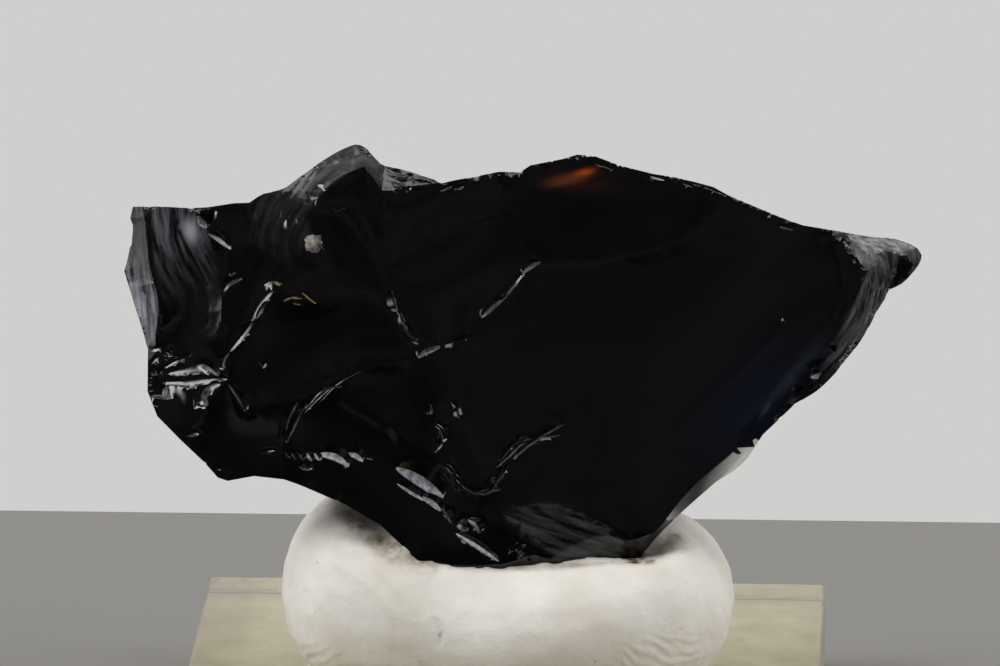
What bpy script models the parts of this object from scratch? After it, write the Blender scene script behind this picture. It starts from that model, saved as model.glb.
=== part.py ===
"""A lump of black volcanic glass on its display mount: stone, putty pad and clear base.

Built at real size in metres, +Z up. The origin is the middle of the base's underside, +X runs
along the stone's length and -Y is the side that the stone faces.

The stone is drawn in its own frame, in millimetres: ACROSS from its left end, UP from where
the putty's lip crosses it, and OUT towards the viewer. Its front and its back are each a net
of ridges inside one shared rim. The surface between ridges is a shallow dish, as glass breaks.
"""
import math

import bmesh
import bpy
from mathutils import Matrix, Vector
from mathutils.geometry import delaunay_2d_cdt

MM = 0.001

# Clear base: a square of acrylic sheet with its edges polished off.
BASE_SIDE = 38.5
BASE_THICK = 5.0
BASE_CHAMFER = 0.2

# Putty pad: pressed flat under the stone, bulging over its own foot.
TOUCH_GAP = 0.3
SOCKET_GAP = 0.4
PAD_LEFT = 13.5
PAD_RIGHT = 14.1
PAD_FRONT = 10.5
PAD_BACK = 10.5
PAD_SQUARENESS = 2.5
PAD_STEPS = 64
# Height over the foot, and how far that level lies inside the widest level.
PAD_PROFILE = [
    (0.0, 2.4), (0.35, 1.6), (1.0, 0.9), (2.1, 0.25), (3.7, 0.0), (5.2, 0.3),
    (6.4, 0.95), (7.3, 1.9), (7.9, 3.1), (8.2, 4.6), (8.3, 6.6),
]
# Height of the pad's shoulders against PAD_PROFILE, at its left end, middle and right end.
PAD_RISE_LEFT = 1.28
PAD_RISE_MIDDLE = 0.93
PAD_RISE_RIGHT = 1.10
# How far out towards either end the shoulders reach their full height.
PAD_SHOULDER = 0.8

# The stone in the mount: it leans back and is turned a little to its left.
STONE_LEAN = 15.0
STONE_TURN = 2.5
STONE_FOOT = (24.0, 0.0, 0.0)
STONE_FOOT_PLACE = (0.99, -1.0, 11.62)

# Spacing of the stone's points along ridges and between them.
FRONT_SPACING = 0.85
BACK_SPACING = 1.0
# Filling points keep this share of the spacing to a ridge.
FILL_CLEARANCE = 0.62
RELAX_ROUNDS = 400
MERGE_MARGIN = 1e-6

# Just inside the rim the back drops away steeply and unevenly, so that the edge is only thin
# where named: a point (across, up), how far round it the edge stays thin, and the drop there.
EDGE_INSET = 0.6
EDGE_CLEARANCE = 0.5
EDGE_DROP = 1.3
EDGE_WAVER = 0.35
THIN_EDGES = [((26.9, 24.9), 2.2, 0.22), ((36.4, 5.6), 1.6, 0.6)]

# The stone's points: (across, up, out) in its own frame, by the part of it that they belong to.
STONE = {
    # The rim, clockwise from the top left corner. The lowest stretch is inside the putty.
    "rim": [
        (0.6, 21.9, 1.8), (1.2, 21.9, 2.7), (2.2, 21.9, 3.3), (4.1, 21.8, 3.9),
        (5.2, 21.85, 4.3), (6.8, 22.1, 4.5), (7.7, 22.1, 4.5), (8.4, 22.7, 4.3),
        (9.5, 22.8, 4.2), (10.5, 23.5, 3.7), (11.8, 24.5, 2.9), (12.9, 25.2, 2.9),
        (13.9, 25.65, 3.1), (14.3, 25.7, 3.2), (14.8, 25.4, 3.3), (15.3, 24.8, 3.3),
        (15.8, 24.3, 3.7), (16.8, 24.2, 4.1), (17.8, 23.9, 4.4), (19.3, 23.3, 4.8),
        (20.2, 23.5, 4.8), (21.3, 23.7, 4.7), (22.8, 24.0, 4.5), (24.1, 24.0, 4.2),
        (24.7, 24.4, 4.0), (26.7, 24.8, 3.5), (27.5, 25.05, 3.3), (28.5, 25.0, 3.2),
        (30.1, 24.4, 3.1), (32.1, 23.9, 2.9), (33.4, 23.7, 2.7), (34.7, 23.4, 2.6),
        (35.8, 23.1, 2.5), (36.7, 22.6, 2.4), (38.6, 21.8, 2.2), (39.8, 21.3, 2.0),
        (41.2, 20.8, 1.8), (43.0, 20.5, 1.5), (45.4, 20.1, 0.8), (46.8, 20.0, 0.3),
        (47.8, 19.7, -0.2), (48.3, 19.4, -0.4), (48.5, 19.0, -0.5), (48.4, 18.4, -0.5),
        (47.3, 17.2, -0.3), (46.5, 16.9, -0.1), (46.3, 16.4, 0.0), (45.9, 15.8, 0.1),
        (44.8, 13.8, 0.5), (44.0, 12.8, 0.8), (43.2, 11.8, 1.1), (42.2, 10.8, 1.5),
        (40.7, 9.9, 2.0), (38.8, 8.1, 2.5), (37.8, 6.6, 2.5), (37.0, 5.9, 2.6),
        (35.9, 5.2, 2.9), (34.3, 3.8, 3.2), (33.2, 2.8, 3.4), (32.0, 1.5, 3.5),
        (31.0, 0.2, 3.3), (29.0, -1.4, 3.2), (25.5, -2.2, 3.8), (22.0, -2.0, 5.0),
        (19.3, -0.9, 5.9), (17.4, 1.0, 6.2), (15.6, 2.7, 6.2), (13.5, 3.9, 6.0),
        (10.7, 5.1, 5.5), (9.8, 5.4, 5.4), (8.0, 5.6, 5.1), (6.4, 5.3, 4.8),
        (5.8, 5.5, 4.7), (5.0, 6.4, 4.5), (3.5, 7.8, 4.0), (2.1, 9.2, 3.4),
        (1.5, 10.7, 2.9), (1.5, 12.5, 2.5), (1.5, 13.3, 2.0), (1.2, 14.2, 1.3),
        (0.5, 16.4, 0.4), (0.0, 18.0, 0.2), (0.4, 19.5, 0.5), (0.6, 20.8, 1.2),
        (0.4, 21.2, 1.5),
    ],
    # Edge between the grey strip on the left end and the hollow scar beside it.
    "strip": [(1.4, 20.2, 3.1), (1.6, 18.1, 3.3), (2.1, 16.7, 3.4), (2.2, 15.6, 3.2), (2.0, 14.3, 2.6)],
    # Right edge of that scar, down to the star of small breaks on the left.
    "left": [
        (5.2, 20.5, 4.9), (6.5, 19.4, 5.1), (6.2, 17.5, 5.2), (6.0, 15.6, 5.3), (6.1, 13.6, 5.3),
    ],
    # Short edges that meet in the star on the left.
    "lstar": [
        (6.4, 11.3, 5.2), (5.7, 11.5, 5.0), (4.9, 12.2, 4.3), (3.1, 12.0, 3.1), (2.6, 11.3, 2.9),
        (2.5, 10.2, 3.4), (5.2, 9.9, 4.9), (4.2, 11.2, 4.1),
    ],
    # Chipped ground between the scar and the peak.
    "chips": [(7.7, 19.6, 5.0), (10.8, 20.7, 5.1), (10.5, 19.0, 5.5)],
    # Front edge of the rippled band under the peak.
    "peak": [
        (11.5, 21.8, 4.9), (12.1, 22.8, 4.8), (13.3, 23.8, 4.8), (14.1, 24.1, 4.8),
        (14.6, 24.3, 4.7), (15.2, 23.5, 4.9), (15.8, 22.8, 5.1), (17.2, 23.1, 5.0),
    ],
    # Edges round the dark face under the peak, down to the junction in the middle.
    "face": [
        (13.3, 21.2, 5.4), (15.8, 20.5, 5.5), (16.2, 18.1, 5.9), (16.3, 16.4, 6.2),
        (16.9, 15.3, 6.3), (17.6, 14.2, 6.5), (18.6, 13.3, 6.6),
    ],
    # Edge from that junction up to the top edge of the big right face.
    "rise": [
        (20.0, 13.7, 6.4), (21.2, 15.2, 6.2), (22.7, 16.0, 5.9), (25.2, 18.4, 5.4),
        (28.5, 18.6, 4.8), (31.9, 19.3, 4.2), (34.5, 20.3, 3.5), (36.0, 21.6, 2.8),
        (19.3, 20.0, 5.7), (22.8, 21.8, 5.1), (23.6, 20.2, 5.3),
    ],
    # The olive face, left of the middle.
    "olive": [
        (9.1, 16.8, 5.8), (11.6, 16.0, 6.1), (14.4, 16.3, 6.2), (7.6, 14.3, 5.6), (6.5, 13.0, 5.4),
        (16.8, 12.6, 6.7), (15.0, 12.3, 6.6), (12.9, 11.3, 6.4), (10.7, 10.2, 6.1),
        (8.8, 9.9, 5.8), (7.5, 9.6, 5.6), (7.0, 10.4, 5.4),
    ],
    # Low edges under it, down to the bright ledges along the bottom.
    "ledge": [
        (10.0, 8.4, 5.9), (10.2, 6.9, 5.7), (11.8, 6.8, 5.9), (13.8, 6.2, 6.2), (16.7, 6.0, 6.4),
        (19.5, 4.4, 6.6), (21.6, 3.7, 6.5), (23.5, 2.2, 6.1), (25.9, 0.4, 5.2),
        (18.2, 4.1, 6.5), (20.3, 2.5, 6.4), (22.7, 0.4, 5.8), (23.6, -0.8, 5.1),
    ],
    # Edges in the middle, below the junction.
    "spine": [
        (19.1, 11.8, 6.8), (19.1, 10.4, 6.9), (18.7, 7.8, 6.8), (19.3, 6.4, 6.8), (20.0, 10.1, 6.9),
        (20.6, 9.0, 6.8), (21.0, 7.2, 6.8), (21.9, 5.4, 6.8), (15.4, 9.4, 6.6), (17.3, 7.8, 6.7),
    ],
    # The thin brown flake scar, right of those.
    "flake": [
        (22.6, 5.3, 6.6), (23.0, 7.0, 6.5), (24.6, 8.4, 5.9), (26.8, 9.0, 5.4), (25.5, 7.6, 5.7),
        (23.8, 6.5, 6.2),
    ],
    # Top edge of the flat grey face over the putty, on the right.
    "foot": [
        (22.7, 4.1, 6.4), (23.7, 3.6, 6.2), (24.9, 3.8, 6.0), (26.8, 3.9, 5.6), (28.4, 3.3, 5.2),
        (29.9, 2.4, 4.8), (30.3, 1.6, 4.5),
    ],
    # Right border of the big face, from the tip down to the pale sliver.
    "right": [
        (43.5, 19.8, 1.9), (44.4, 18.9, 1.8), (45.0, 18.0, 1.6), (44.1, 16.2, 2.0),
        (43.9, 15.1, 2.1), (42.9, 13.6, 2.4), (41.2, 12.3, 2.7), (39.3, 10.3, 3.1),
        (37.3, 8.2, 3.5), (37.2, 7.3, 3.5), (36.1, 6.3, 3.7), (34.9, 5.3, 3.9),
        (33.6, 3.9, 4.1), (32.2, 2.2, 4.2),
    ],
    # The tip's own edges.
    "tip": [(46.9, 19.1, 0.8), (46.6, 17.9, 0.6), (45.2, 16.6, 1.2)],
    # The back: an off-centre hump with broad scars running off it to the rim. The last three
    # are the inner edge of the thin lip that lets light through.
    "back": [
        (4.5, 15.5, -2.4), (8.5, 10.5, -4.4), (11.5, 16.5, -5.4), (10.5, 20.8, -1.2),
        (16.0, 13.5, -7.4), (18.5, 18.8, -4.2), (21.5, 8.5, -7.8), (24.0, 15.5, -6.6),
        (27.5, 19.5, -3.0), (30.0, 11.0, -6.2), (27.0, 4.5, -5.2), (19.0, 3.5, -5.2),
        (33.5, 16.5, -4.4), (37.5, 18.0, -2.2), (38.5, 12.5, -2.4), (43.0, 17.5, -1.4),
        (34.0, 7.2, -1.8), (12.8, 6.9, -2.8),
        (25.0, 23.3, 3.6), (27.2, 23.3, 3.0), (29.4, 23.4, 2.6),
    ],
}

FRONT_RIDGES = [
    # left end
    "rim1 strip0 strip1 strip2 strip3 strip4 rim78",
    "rim4 left0 left1 left2 left3 left4 olive4",
    "left1 chips0 rim6",
    "chips0 chips1 peak0",
    "chips1 chips2 olive0",
    # star on the left
    "olive4 lstar0 lstar1 lstar2 lstar3 rim77",
    "lstar1 lstar7 lstar4 lstar5 rim76",
    "lstar1 lstar6 rim74",
    "lstar0 olive11 olive10",
    # peak
    "rim8 peak0 peak1 peak2 peak3 peak4",
    "peak4 peak5 peak6",
    "peak6 peak7 rim19",
    # dark face and the middle junction
    "peak6 face1 face2 face3",
    "chips1 face0 face3",
    "face3 face4 face5 face6",
    "face2 rise8 rise9 rim22",
    "face6 rise0 rise1 rise2 rise3 rise4 rise5 rise6 rise7 rim33",
    "rise3 rise10 rise9",
    # olive face
    "olive0 olive1 olive2 face5",
    "olive0 olive3 olive4",
    "face6 olive5 olive6 olive7 olive8 olive9 olive10",
    # ledges
    "olive8 ledge0 ledge1 ledge2 ledge3 ledge4 ledge5 ledge6",
    "ledge6 ledge7 ledge8 rim62",
    "ledge4 ledge9 ledge10 ledge11 ledge12 rim63",
    "ledge1 rim70",
    # middle
    "face6 spine0 spine1 spine2 spine3 ledge5",
    "spine1 spine4 spine5 spine6 spine7 ledge6",
    "olive7 spine8 spine9 spine3",
    "flake0 flake1 flake2 flake3 flake4 flake5 flake0",
    "spine7 flake0 foot0",
    # foot face
    "ledge6 foot0 foot1 foot2 foot3 foot4 foot5 foot6",
    "foot6 rim60",
    # right border, sliver and tip
    "rim37 right0 right1 right2 right3 right4 right5 right6 right7 right8 right9 right10 right11"
    " right12 right13 foot6",
    "right4 rim48",
    "right8 rim53",
    "right13 rim59",
    "rim39 tip0 tip1 rim45",
    "right2 tip2 rim47",
]

BACK_RIDGES = [
    "rim81 back0 back2 back4 back6 back10 rim61",
    "rim12 back3 back2",
    "rim6 back3",
    "back0 back1 back4",
    "rim73 back1",
    "rim17 back5 back7 back9 back16 rim57",
    "back2 back5",
    "back4 back7",
    "back5 back8 back12",
    "rim23 back18 back19 back20 rim28",
    "back19 back8",
    "back9 back12 back13 rim35",
    "back13 back15 rim43",
    "back9 back14 rim51",
    "back15 back14",
    "back6 back11 rim64",
    "back1 back17 back11",
    "rim67 back17",
]

# How deep each scar is hollowed between its ridges, by a point (across, up) inside it.
FRONT_SCARS = {
    (4.0, 18.0): 0.6, (1.0, 18.0): 0.1, (8.5, 18.5): 0.2, (9.5, 21.5): 0.2, (13.8, 24.8): 0.25,
    (12.5, 19.0): 0.25, (14.5, 21.8): 0.25, (18.0, 21.5): 0.25, (20.5, 18.0): 0.35, (24.5, 22.0): 0.1,
    (32.0, 21.5): 0.15, (32.0, 12.0): 0.5, (11.5, 13.5): 0.4, (7.0, 7.5): 0.25, (13.0, 8.7): 0.25,
    (17.5, 10.5): 0.2, (14.0, 5.0): -0.1, (27.0, 1.5): 0.15, (24.5, 7.5): 0.08, (46.0, 19.0): 0.1,
}
BACK_SCARS = {
    (5.0, 19.0): 0.6, (14.0, 20.5): 0.9, (21.5, 21.0): 0.7, (33.0, 20.0): 0.7, (27.0, 16.5): 0.6,
    (17.5, 16.3): 0.7, (10.5, 13.5): 0.7, (3.5, 12.0): 0.8, (14.5, 9.0): 0.9, (8.0, 7.5): 0.5,
    (16.0, 3.5): 0.3, (22.5, 2.5): 0.6, (27.5, 8.0): 1.2, (36.5, 9.5): 0.6, (37.0, 15.0): 0.6,
    (43.0, 19.3): 0.3, (42.5, 14.5): 0.5,
}


def clear_scene():
    for item in list(bpy.data.objects):
        bpy.data.objects.remove(item, do_unlink=True)


def plain_material(name, colour, roughness, metallic=0.0):
    material = bpy.data.materials.new(name)
    material.use_nodes = True
    shader = material.node_tree.nodes["Principled BSDF"]
    shader.inputs["Base Color"].default_value = (*colour, 1.0)
    shader.inputs["Roughness"].default_value = roughness
    shader.inputs["Metallic"].default_value = metallic
    return material


def add_object(name, mesh_builder, material):
    """Turn a bmesh in millimetres into a named object in metres."""
    bmesh.ops.scale(mesh_builder, vec=(MM, MM, MM), verts=mesh_builder.verts)
    bmesh.ops.recalc_face_normals(mesh_builder, faces=mesh_builder.faces)
    mesh = bpy.data.meshes.new(name)
    mesh_builder.to_mesh(mesh)
    mesh_builder.free()
    mesh.materials.append(material)
    part = bpy.data.objects.new(name, mesh)
    bpy.context.collection.objects.link(part)
    return part


# The stone -------------------------------------------------------------------------------------

def stone_points():
    return {f"{group}{i}": Vector(p) for group, points in STONE.items() for i, p in enumerate(points)}


def curve_through(points, spacing):
    """Points along a smooth curve through the given ones (Catmull-Rom), about `spacing` apart."""
    padded = [points[0], *points, points[-1]]
    result = [points[0]]
    for before, start, end, after in zip(padded, padded[1:], padded[2:], padded[3:]):
        steps = max(1, round((end - start).length / spacing))
        for step in range(1, steps + 1):
            t = step / steps
            bend = (2 * start + (end - before) * t + (2 * before - 5 * start + 4 * end - after) * t**2
                    + (3 * start - before - 3 * end + after) * t**3)
            result.append(bend / 2)
    return result


def line_through(points, spacing):
    """Points along straight runs between the given ones, for the broken rim."""
    result = [points[0]]
    for start, end in zip(points, points[1:]):
        steps = max(1, round((end - start).length / spacing))
        result += [start.lerp(end, step / steps) for step in range(1, steps + 1)]
    return result


def inside(point, outline):
    """Whether a flat point lies inside a closed outline."""
    crossings = False
    for a, b in zip(outline, outline[1:] + outline[:1]):
        if (a.y > point.y) != (b.y > point.y):
            crossings ^= point.x < a.x + (b.x - a.x) * (point.y - a.y) / (b.y - a.y)
    return crossings


def edge_waver(point):
    """How the blunt edge grows and shrinks along the rim, as a factor near 1."""
    return 1 + EDGE_WAVER * math.sin(1.7 * point.x + 0.6 * point.y) * math.cos(0.9 * point.y)


def edge_drop(point):
    """How far the back drops just inside the rim at this point of it."""
    drop = EDGE_DROP * edge_waver(point)
    for place, reach, thin_drop in THIN_EDGES:
        nearness = max(0.0, 1 - (point.to_2d() - Vector(place)).length / reach)
        drop += (thin_drop - drop) * min(1.0, 2 * nearness)
    return drop


class Net:
    """One side of the stone: flat points with an `out` each, and the ridges between them."""

    def __init__(self, rim, ridges, spacing, blunt):
        self.points = list(rim)
        self.index = {self.key(p): i for i, p in enumerate(self.points)}
        self.edges = [(i, (i + 1) % len(rim)) for i in range(len(rim))]
        for ridge in ridges:
            ids = [self.add(p) for p in curve_through(ridge, spacing)]
            self.edges += list(zip(ids, ids[1:]))
        if blunt:
            self.blunt_edge(rim)
        self.fixed = len(self.points)
        self.fill(rim, spacing)

    @staticmethod
    def key(point):
        return round(point.x, 3), round(point.y, 3)

    def add(self, point):
        key = self.key(point)
        if key not in self.index:
            self.index[key] = len(self.points)
            self.points.append(point.copy())
        return self.index[key]

    def blunt_edge(self, rim):
        """Points just inside the rim that drop steeply from it, clear of the rim and ridges."""
        outline = [p.to_2d() for p in rim]
        taken = [p.to_2d() for p in self.points]
        for before, point, after in zip(rim[-1:] + rim[:-1], rim, rim[1:] + rim[:1]):
            along = (after - before).to_2d().normalized()
            spot = point.to_2d() + Vector((along.y, -along.x)) * EDGE_INSET * edge_waver(point)
            clear = min((spot - p).length for p in taken) > EDGE_CLEARANCE
            if clear and inside(spot, outline):
                self.points.append(Vector((*spot, point.z - edge_drop(point))))
                taken.append(spot)

    def fill(self, rim, spacing):
        """Staggered rows of points inside the rim, clear of every ridge."""
        set_points = [p.to_2d() for p in self.points]
        outline = [p.to_2d() for p in rim]
        row_gap = spacing * math.sqrt(3) / 2
        top = max(p.y for p in outline)
        row_y = min(p.y for p in outline)
        row = 0
        while row_y < top:
            x = (row % 2) * spacing / 2
            while x < max(p.x for p in outline):
                spot = Vector((x, row_y))
                clear = min((spot - p).length_squared for p in set_points) > (FILL_CLEARANCE * spacing) ** 2
                if clear and inside(spot, outline):
                    self.points.append(spot.to_3d())
                x += spacing
            row_y += row_gap
            row += 1

    def triangulate(self):
        flat = [p.to_2d() for p in self.points]
        verts, edges, faces, origin, edge_origin, _ = delaunay_2d_cdt(flat, self.edges, [], 1, MERGE_MARGIN)
        if len(verts) != len(flat):
            raise ValueError(f"ridges cross: {len(flat)} points became {len(verts)}")
        back_to = [ids[0] for ids in origin]
        self.faces = [[back_to[i] for i in face] for face in faces]
        borders = [edge for edge, ids in zip(edges, edge_origin) if ids]
        self.borders = {frozenset(back_to[i] for i in edge) for edge in borders}
        self.near = {i: set() for i in range(len(flat))}
        for face in self.faces:
            for a in face:
                self.near[a].update(b for b in face if b != a)

    def scar_of(self, seed):
        """All free points in the scar that holds the seed: a flood that stops at ridges."""
        spot = Vector(seed)
        start = min(range(len(self.faces)), key=lambda f: (
            sum((self.points[i].to_2d() for i in self.faces[f]), Vector((0, 0))) / 3 - spot).length)
        across = {}
        for number, face in enumerate(self.faces):
            for a, b in zip(face, face[1:] + face[:1]):
                across.setdefault(frozenset((a, b)), []).append(number)
        reached = {start}
        queue = [start]
        while queue:
            face = self.faces[queue.pop()]
            for a, b in zip(face, face[1:] + face[:1]):
                edge = frozenset((a, b))
                if edge in self.borders:
                    continue
                for other in across[edge]:
                    if other not in reached:
                        reached.add(other)
                        queue.append(other)
        return {i for number in reached for i in self.faces[number] if i >= self.fixed}

    def relax(self, scars, sign):
        """Stretch the surface smoothly between its ridges, then hollow out each named scar."""
        free = range(self.fixed, len(self.points))
        out = [p.z for p in self.points]
        dish = [0.0] * len(self.points)
        for _ in range(RELAX_ROUNDS):
            for i in free:
                near = self.near[i]
                out[i] = sum(out[j] for j in near) / len(near)
                dish[i] = sum(dish[j] for j in near) / len(near) + 1.0
        for seed, depth in scars.items():
            scar = self.scar_of(seed)
            deepest = max((dish[i] for i in scar), default=1.0)
            for i in scar:
                out[i] -= sign * depth * dish[i] / deepest
        for i in free:
            self.points[i].z = out[i]


def build_side(rim, ridge_names, named, spacing, scars, sign):
    ridges = [[named[name] for name in line.split()] for line in ridge_names]
    net = Net(rim, ridges, spacing, blunt=sign < 0)
    net.triangulate()
    net.relax(scars, sign)
    return net


def stone_mesh():
    """Front and back nets joined at their shared rim, in the stone's own frame."""
    named = stone_points()
    corners = [Vector(p) for p in STONE["rim"]]
    rim = line_through(corners + corners[:1], FRONT_SPACING)[:-1]
    front = build_side(rim, FRONT_RIDGES, named, FRONT_SPACING, FRONT_SCARS, 1)
    back = build_side(rim, BACK_RIDGES, named, BACK_SPACING, BACK_SCARS, -1)
    builder = bmesh.new()
    front_verts = [builder.verts.new(p) for p in front.points]
    back_verts = front_verts[:len(rim)] + [builder.verts.new(p) for p in back.points[len(rim):]]
    for net, verts in ((front, front_verts), (back, back_verts)):
        for face in net.faces:
            builder.faces.new([verts[i] for i in face])
    return builder


def stone_frame():
    """From the stone's own frame to the mount's, in millimetres."""
    axes = Matrix(((1, 0, 0), (0, 0, -1), (0, 1, 0))).to_4x4()
    lean = Matrix.Rotation(math.radians(-STONE_LEAN), 4, "X")
    turn = Matrix.Rotation(math.radians(STONE_TURN), 4, "Z")
    place = Matrix.Translation(STONE_FOOT_PLACE)
    return place @ turn @ lean @ axes @ Matrix.Translation(-Vector(STONE_FOOT))


def add_stone():
    builder = stone_mesh()
    bmesh.ops.transform(builder, matrix=stone_frame(), verts=builder.verts)
    glass = plain_material("black volcanic glass", (0.006, 0.006, 0.008), 0.06)
    return add_object("crystal", builder, glass)


# The mount -------------------------------------------------------------------------------------

def pad_rise(x):
    """How much the pad's shoulders stand up at x: highest on the left, lowest in the middle."""
    if x < 0:
        share = min(1.0, -x / (PAD_SHOULDER * PAD_LEFT))
        end = PAD_RISE_LEFT
    else:
        share = min(1.0, x / (PAD_SHOULDER * PAD_RIGHT))
        end = PAD_RISE_RIGHT
    ease = share * share * (3 - 2 * share)
    return PAD_RISE_MIDDLE + (end - PAD_RISE_MIDDLE) * ease


def pad_ring(height, inset):
    """One level of the pad: a squarish oval, a little wider on the right."""
    ring = []
    for step in range(PAD_STEPS):
        angle = 2 * math.pi * step / PAD_STEPS
        c, s = math.cos(angle), math.sin(angle)
        half_x = (PAD_RIGHT if c > 0 else PAD_LEFT) - inset
        half_y = (PAD_BACK if s > 0 else PAD_FRONT) - inset
        reach = (abs(c) ** PAD_SQUARENESS + abs(s) ** PAD_SQUARENESS) ** (-1 / PAD_SQUARENESS)
        x = half_x * c * reach
        z = BASE_THICK + TOUCH_GAP + height * pad_rise(x)
        ring.append(Vector((x, half_y * s * reach, z)))
    return ring


def add_pad(stone):
    builder = bmesh.new()
    loops = []
    for height, inset in PAD_PROFILE:
        verts = [builder.verts.new(p) for p in pad_ring(height, inset)]
        loops.append([builder.edges.new(pair) for pair in zip(verts, verts[1:] + verts[:1])])
    for lower, upper in zip(loops, loops[1:]):
        bmesh.ops.bridge_loops(builder, edges=lower + upper)
    for loop in (loops[0], loops[-1]):
        bmesh.ops.contextual_create(builder, geom=loop)
    putty = plain_material("white mineral putty", (0.72, 0.69, 0.63), 0.75)
    pad = add_object("putty_pad", builder, putty)
    socket = pad.modifiers.new("socket", "BOOLEAN")
    socket.operation = "DIFFERENCE"
    socket.solver = "EXACT"
    socket.object = add_clearance(stone)
    return pad


def add_clearance(stone):
    """The stone grown by the gap it keeps to the putty: the cutter for its socket."""
    cutter = stone.copy()
    cutter.data = stone.data.copy()
    cutter.name = "stone_clearance"
    bpy.context.collection.objects.link(cutter)
    grow = cutter.modifiers.new("grow", "DISPLACE")
    grow.mid_level = 0.0
    grow.strength = SOCKET_GAP * MM
    cutter.hide_render = True
    cutter.display_type = "WIRE"
    return cutter


def add_base():
    builder = bmesh.new()
    bmesh.ops.create_cube(builder, size=1.0)
    bmesh.ops.scale(builder, vec=(BASE_SIDE, BASE_SIDE, BASE_THICK), verts=builder.verts)
    bmesh.ops.translate(builder, vec=(0, 0, BASE_THICK / 2), verts=builder.verts)
    bmesh.ops.bevel(builder, geom=builder.edges[:], offset=BASE_CHAMFER, segments=1,
                    affect="EDGES", profile=0.5)
    acrylic = plain_material("clear acrylic", (0.70, 0.62, 0.44), 0.08)
    return add_object("acrylic_base", builder, acrylic)


def main():
    clear_scene()
    stone = add_stone()
    add_pad(stone)
    add_base()


main()
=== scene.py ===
"""Looks for a lump of black volcanic glass on its display mount: putty pad and clear base.

Everything ends up in metres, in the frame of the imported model: +Z up, -Y towards the viewer.
The stone is worked on in its own frame, in millimetres: ACROSS from its left end, UP from where
the putty's lip crosses it, and OUT towards the viewer. The putty is worked on in millimetres too.
"""
import math
import random

import bmesh
import bpy
from mathutils import Matrix, Vector, noise
from mathutils.bvhtree import BVHTree


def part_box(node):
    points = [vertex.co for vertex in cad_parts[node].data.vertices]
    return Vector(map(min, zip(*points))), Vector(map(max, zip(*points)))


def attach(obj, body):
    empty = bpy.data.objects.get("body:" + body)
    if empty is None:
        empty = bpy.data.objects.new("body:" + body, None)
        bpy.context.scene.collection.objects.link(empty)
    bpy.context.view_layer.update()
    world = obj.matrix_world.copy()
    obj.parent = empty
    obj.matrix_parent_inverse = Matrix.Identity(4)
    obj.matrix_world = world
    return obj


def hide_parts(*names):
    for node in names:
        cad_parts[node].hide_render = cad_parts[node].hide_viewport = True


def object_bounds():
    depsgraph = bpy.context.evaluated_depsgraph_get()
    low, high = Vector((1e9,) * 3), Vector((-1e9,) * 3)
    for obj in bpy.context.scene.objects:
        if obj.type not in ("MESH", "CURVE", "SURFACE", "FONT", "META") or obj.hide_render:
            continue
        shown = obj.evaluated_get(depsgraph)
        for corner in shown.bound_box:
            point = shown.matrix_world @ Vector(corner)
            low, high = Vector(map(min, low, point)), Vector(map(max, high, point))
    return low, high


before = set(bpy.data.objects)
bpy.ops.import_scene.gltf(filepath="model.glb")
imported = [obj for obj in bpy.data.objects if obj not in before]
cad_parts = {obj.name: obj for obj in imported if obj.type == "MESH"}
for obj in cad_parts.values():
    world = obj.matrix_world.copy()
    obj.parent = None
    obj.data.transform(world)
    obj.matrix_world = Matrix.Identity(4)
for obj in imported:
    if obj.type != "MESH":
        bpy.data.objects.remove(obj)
CAD_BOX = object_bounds()

MM = 0.001

# Where the stone's own frame lies in the mount's, in millimetres and degrees.
STONE_LEAN = 15.0
STONE_TURN = 2.5
STONE_FOOT = (24.0, 0.0, 0.0)
STONE_FOOT_PLACE = (0.99, -1.0, 11.62)

# The view: a long lens, a little above and to the right of the stone's front.
VIEW_TURN = 2.6
VIEW_HEIGHT = 15.0
VIEW_DISTANCE = 0.8
VIEW_AIM = (-0.2, 0.0, 26.09)
PIXELS_PER_MM = 16.5
FRAME_WIDTH = 1000
SENSOR = 36.0

# The stage: a table that ends behind the mount, and the level of light in the room in front of
# the stone and behind it.
FLOOR_SIZE = (0.6, 0.3)
FLOOR_CENTRE_Y = -0.098
FLOOR_DROP = 0.0002
FLOOR_PALES = (-0.012, -0.035)
ROOM_FRONT = 0.11
ROOM_BACK = 0.62
ROOM_BELOW = 0.55

# Softboxes, far off and soft at their edges. Each faces the mount from one direction (azimuth from
# the viewer's side and height, degrees), and has half widths (across, up) and a brightness.
SOFTBOXES = {
    "overhead": ((180, 84), (22, 17), 3.8),
    "upper left": ((258, 62), (12, 9), 0.7),
    "left": ((246, 20), (13, 22), 1.4),
    "left low": ((246, -14), (11, 10), 0.45),
    "right": ((112, 15), (14, 18), 1.8),
    "right low": ((138, -31), (15, 15), 1.6),
    "front right": ((72, 32), (12, 16), 5.2),
    "front left": ((283, 36), (12, 10), 13.0),
    "front left card": ((324, -17), (10, 12), 0.2),
}
SOFTBOX_EDGE = 0.45

COLOURS = {
    "floor": "#83817e",
    "floor in front": "#f2f1ef",
    "backdrop": "#cfcfce",
    "putty": "#eeeae3",
    # The putty's grime colour, also used as painted shade along the stone's foot.
    "putty grime and shade": "#857767",
}

# How steeply a bright break has to lie back, as seen by the viewer, to mirror the light above.
GLINT_TILT = 26.0
STEEPEST_SLOPE = 1.25

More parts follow.
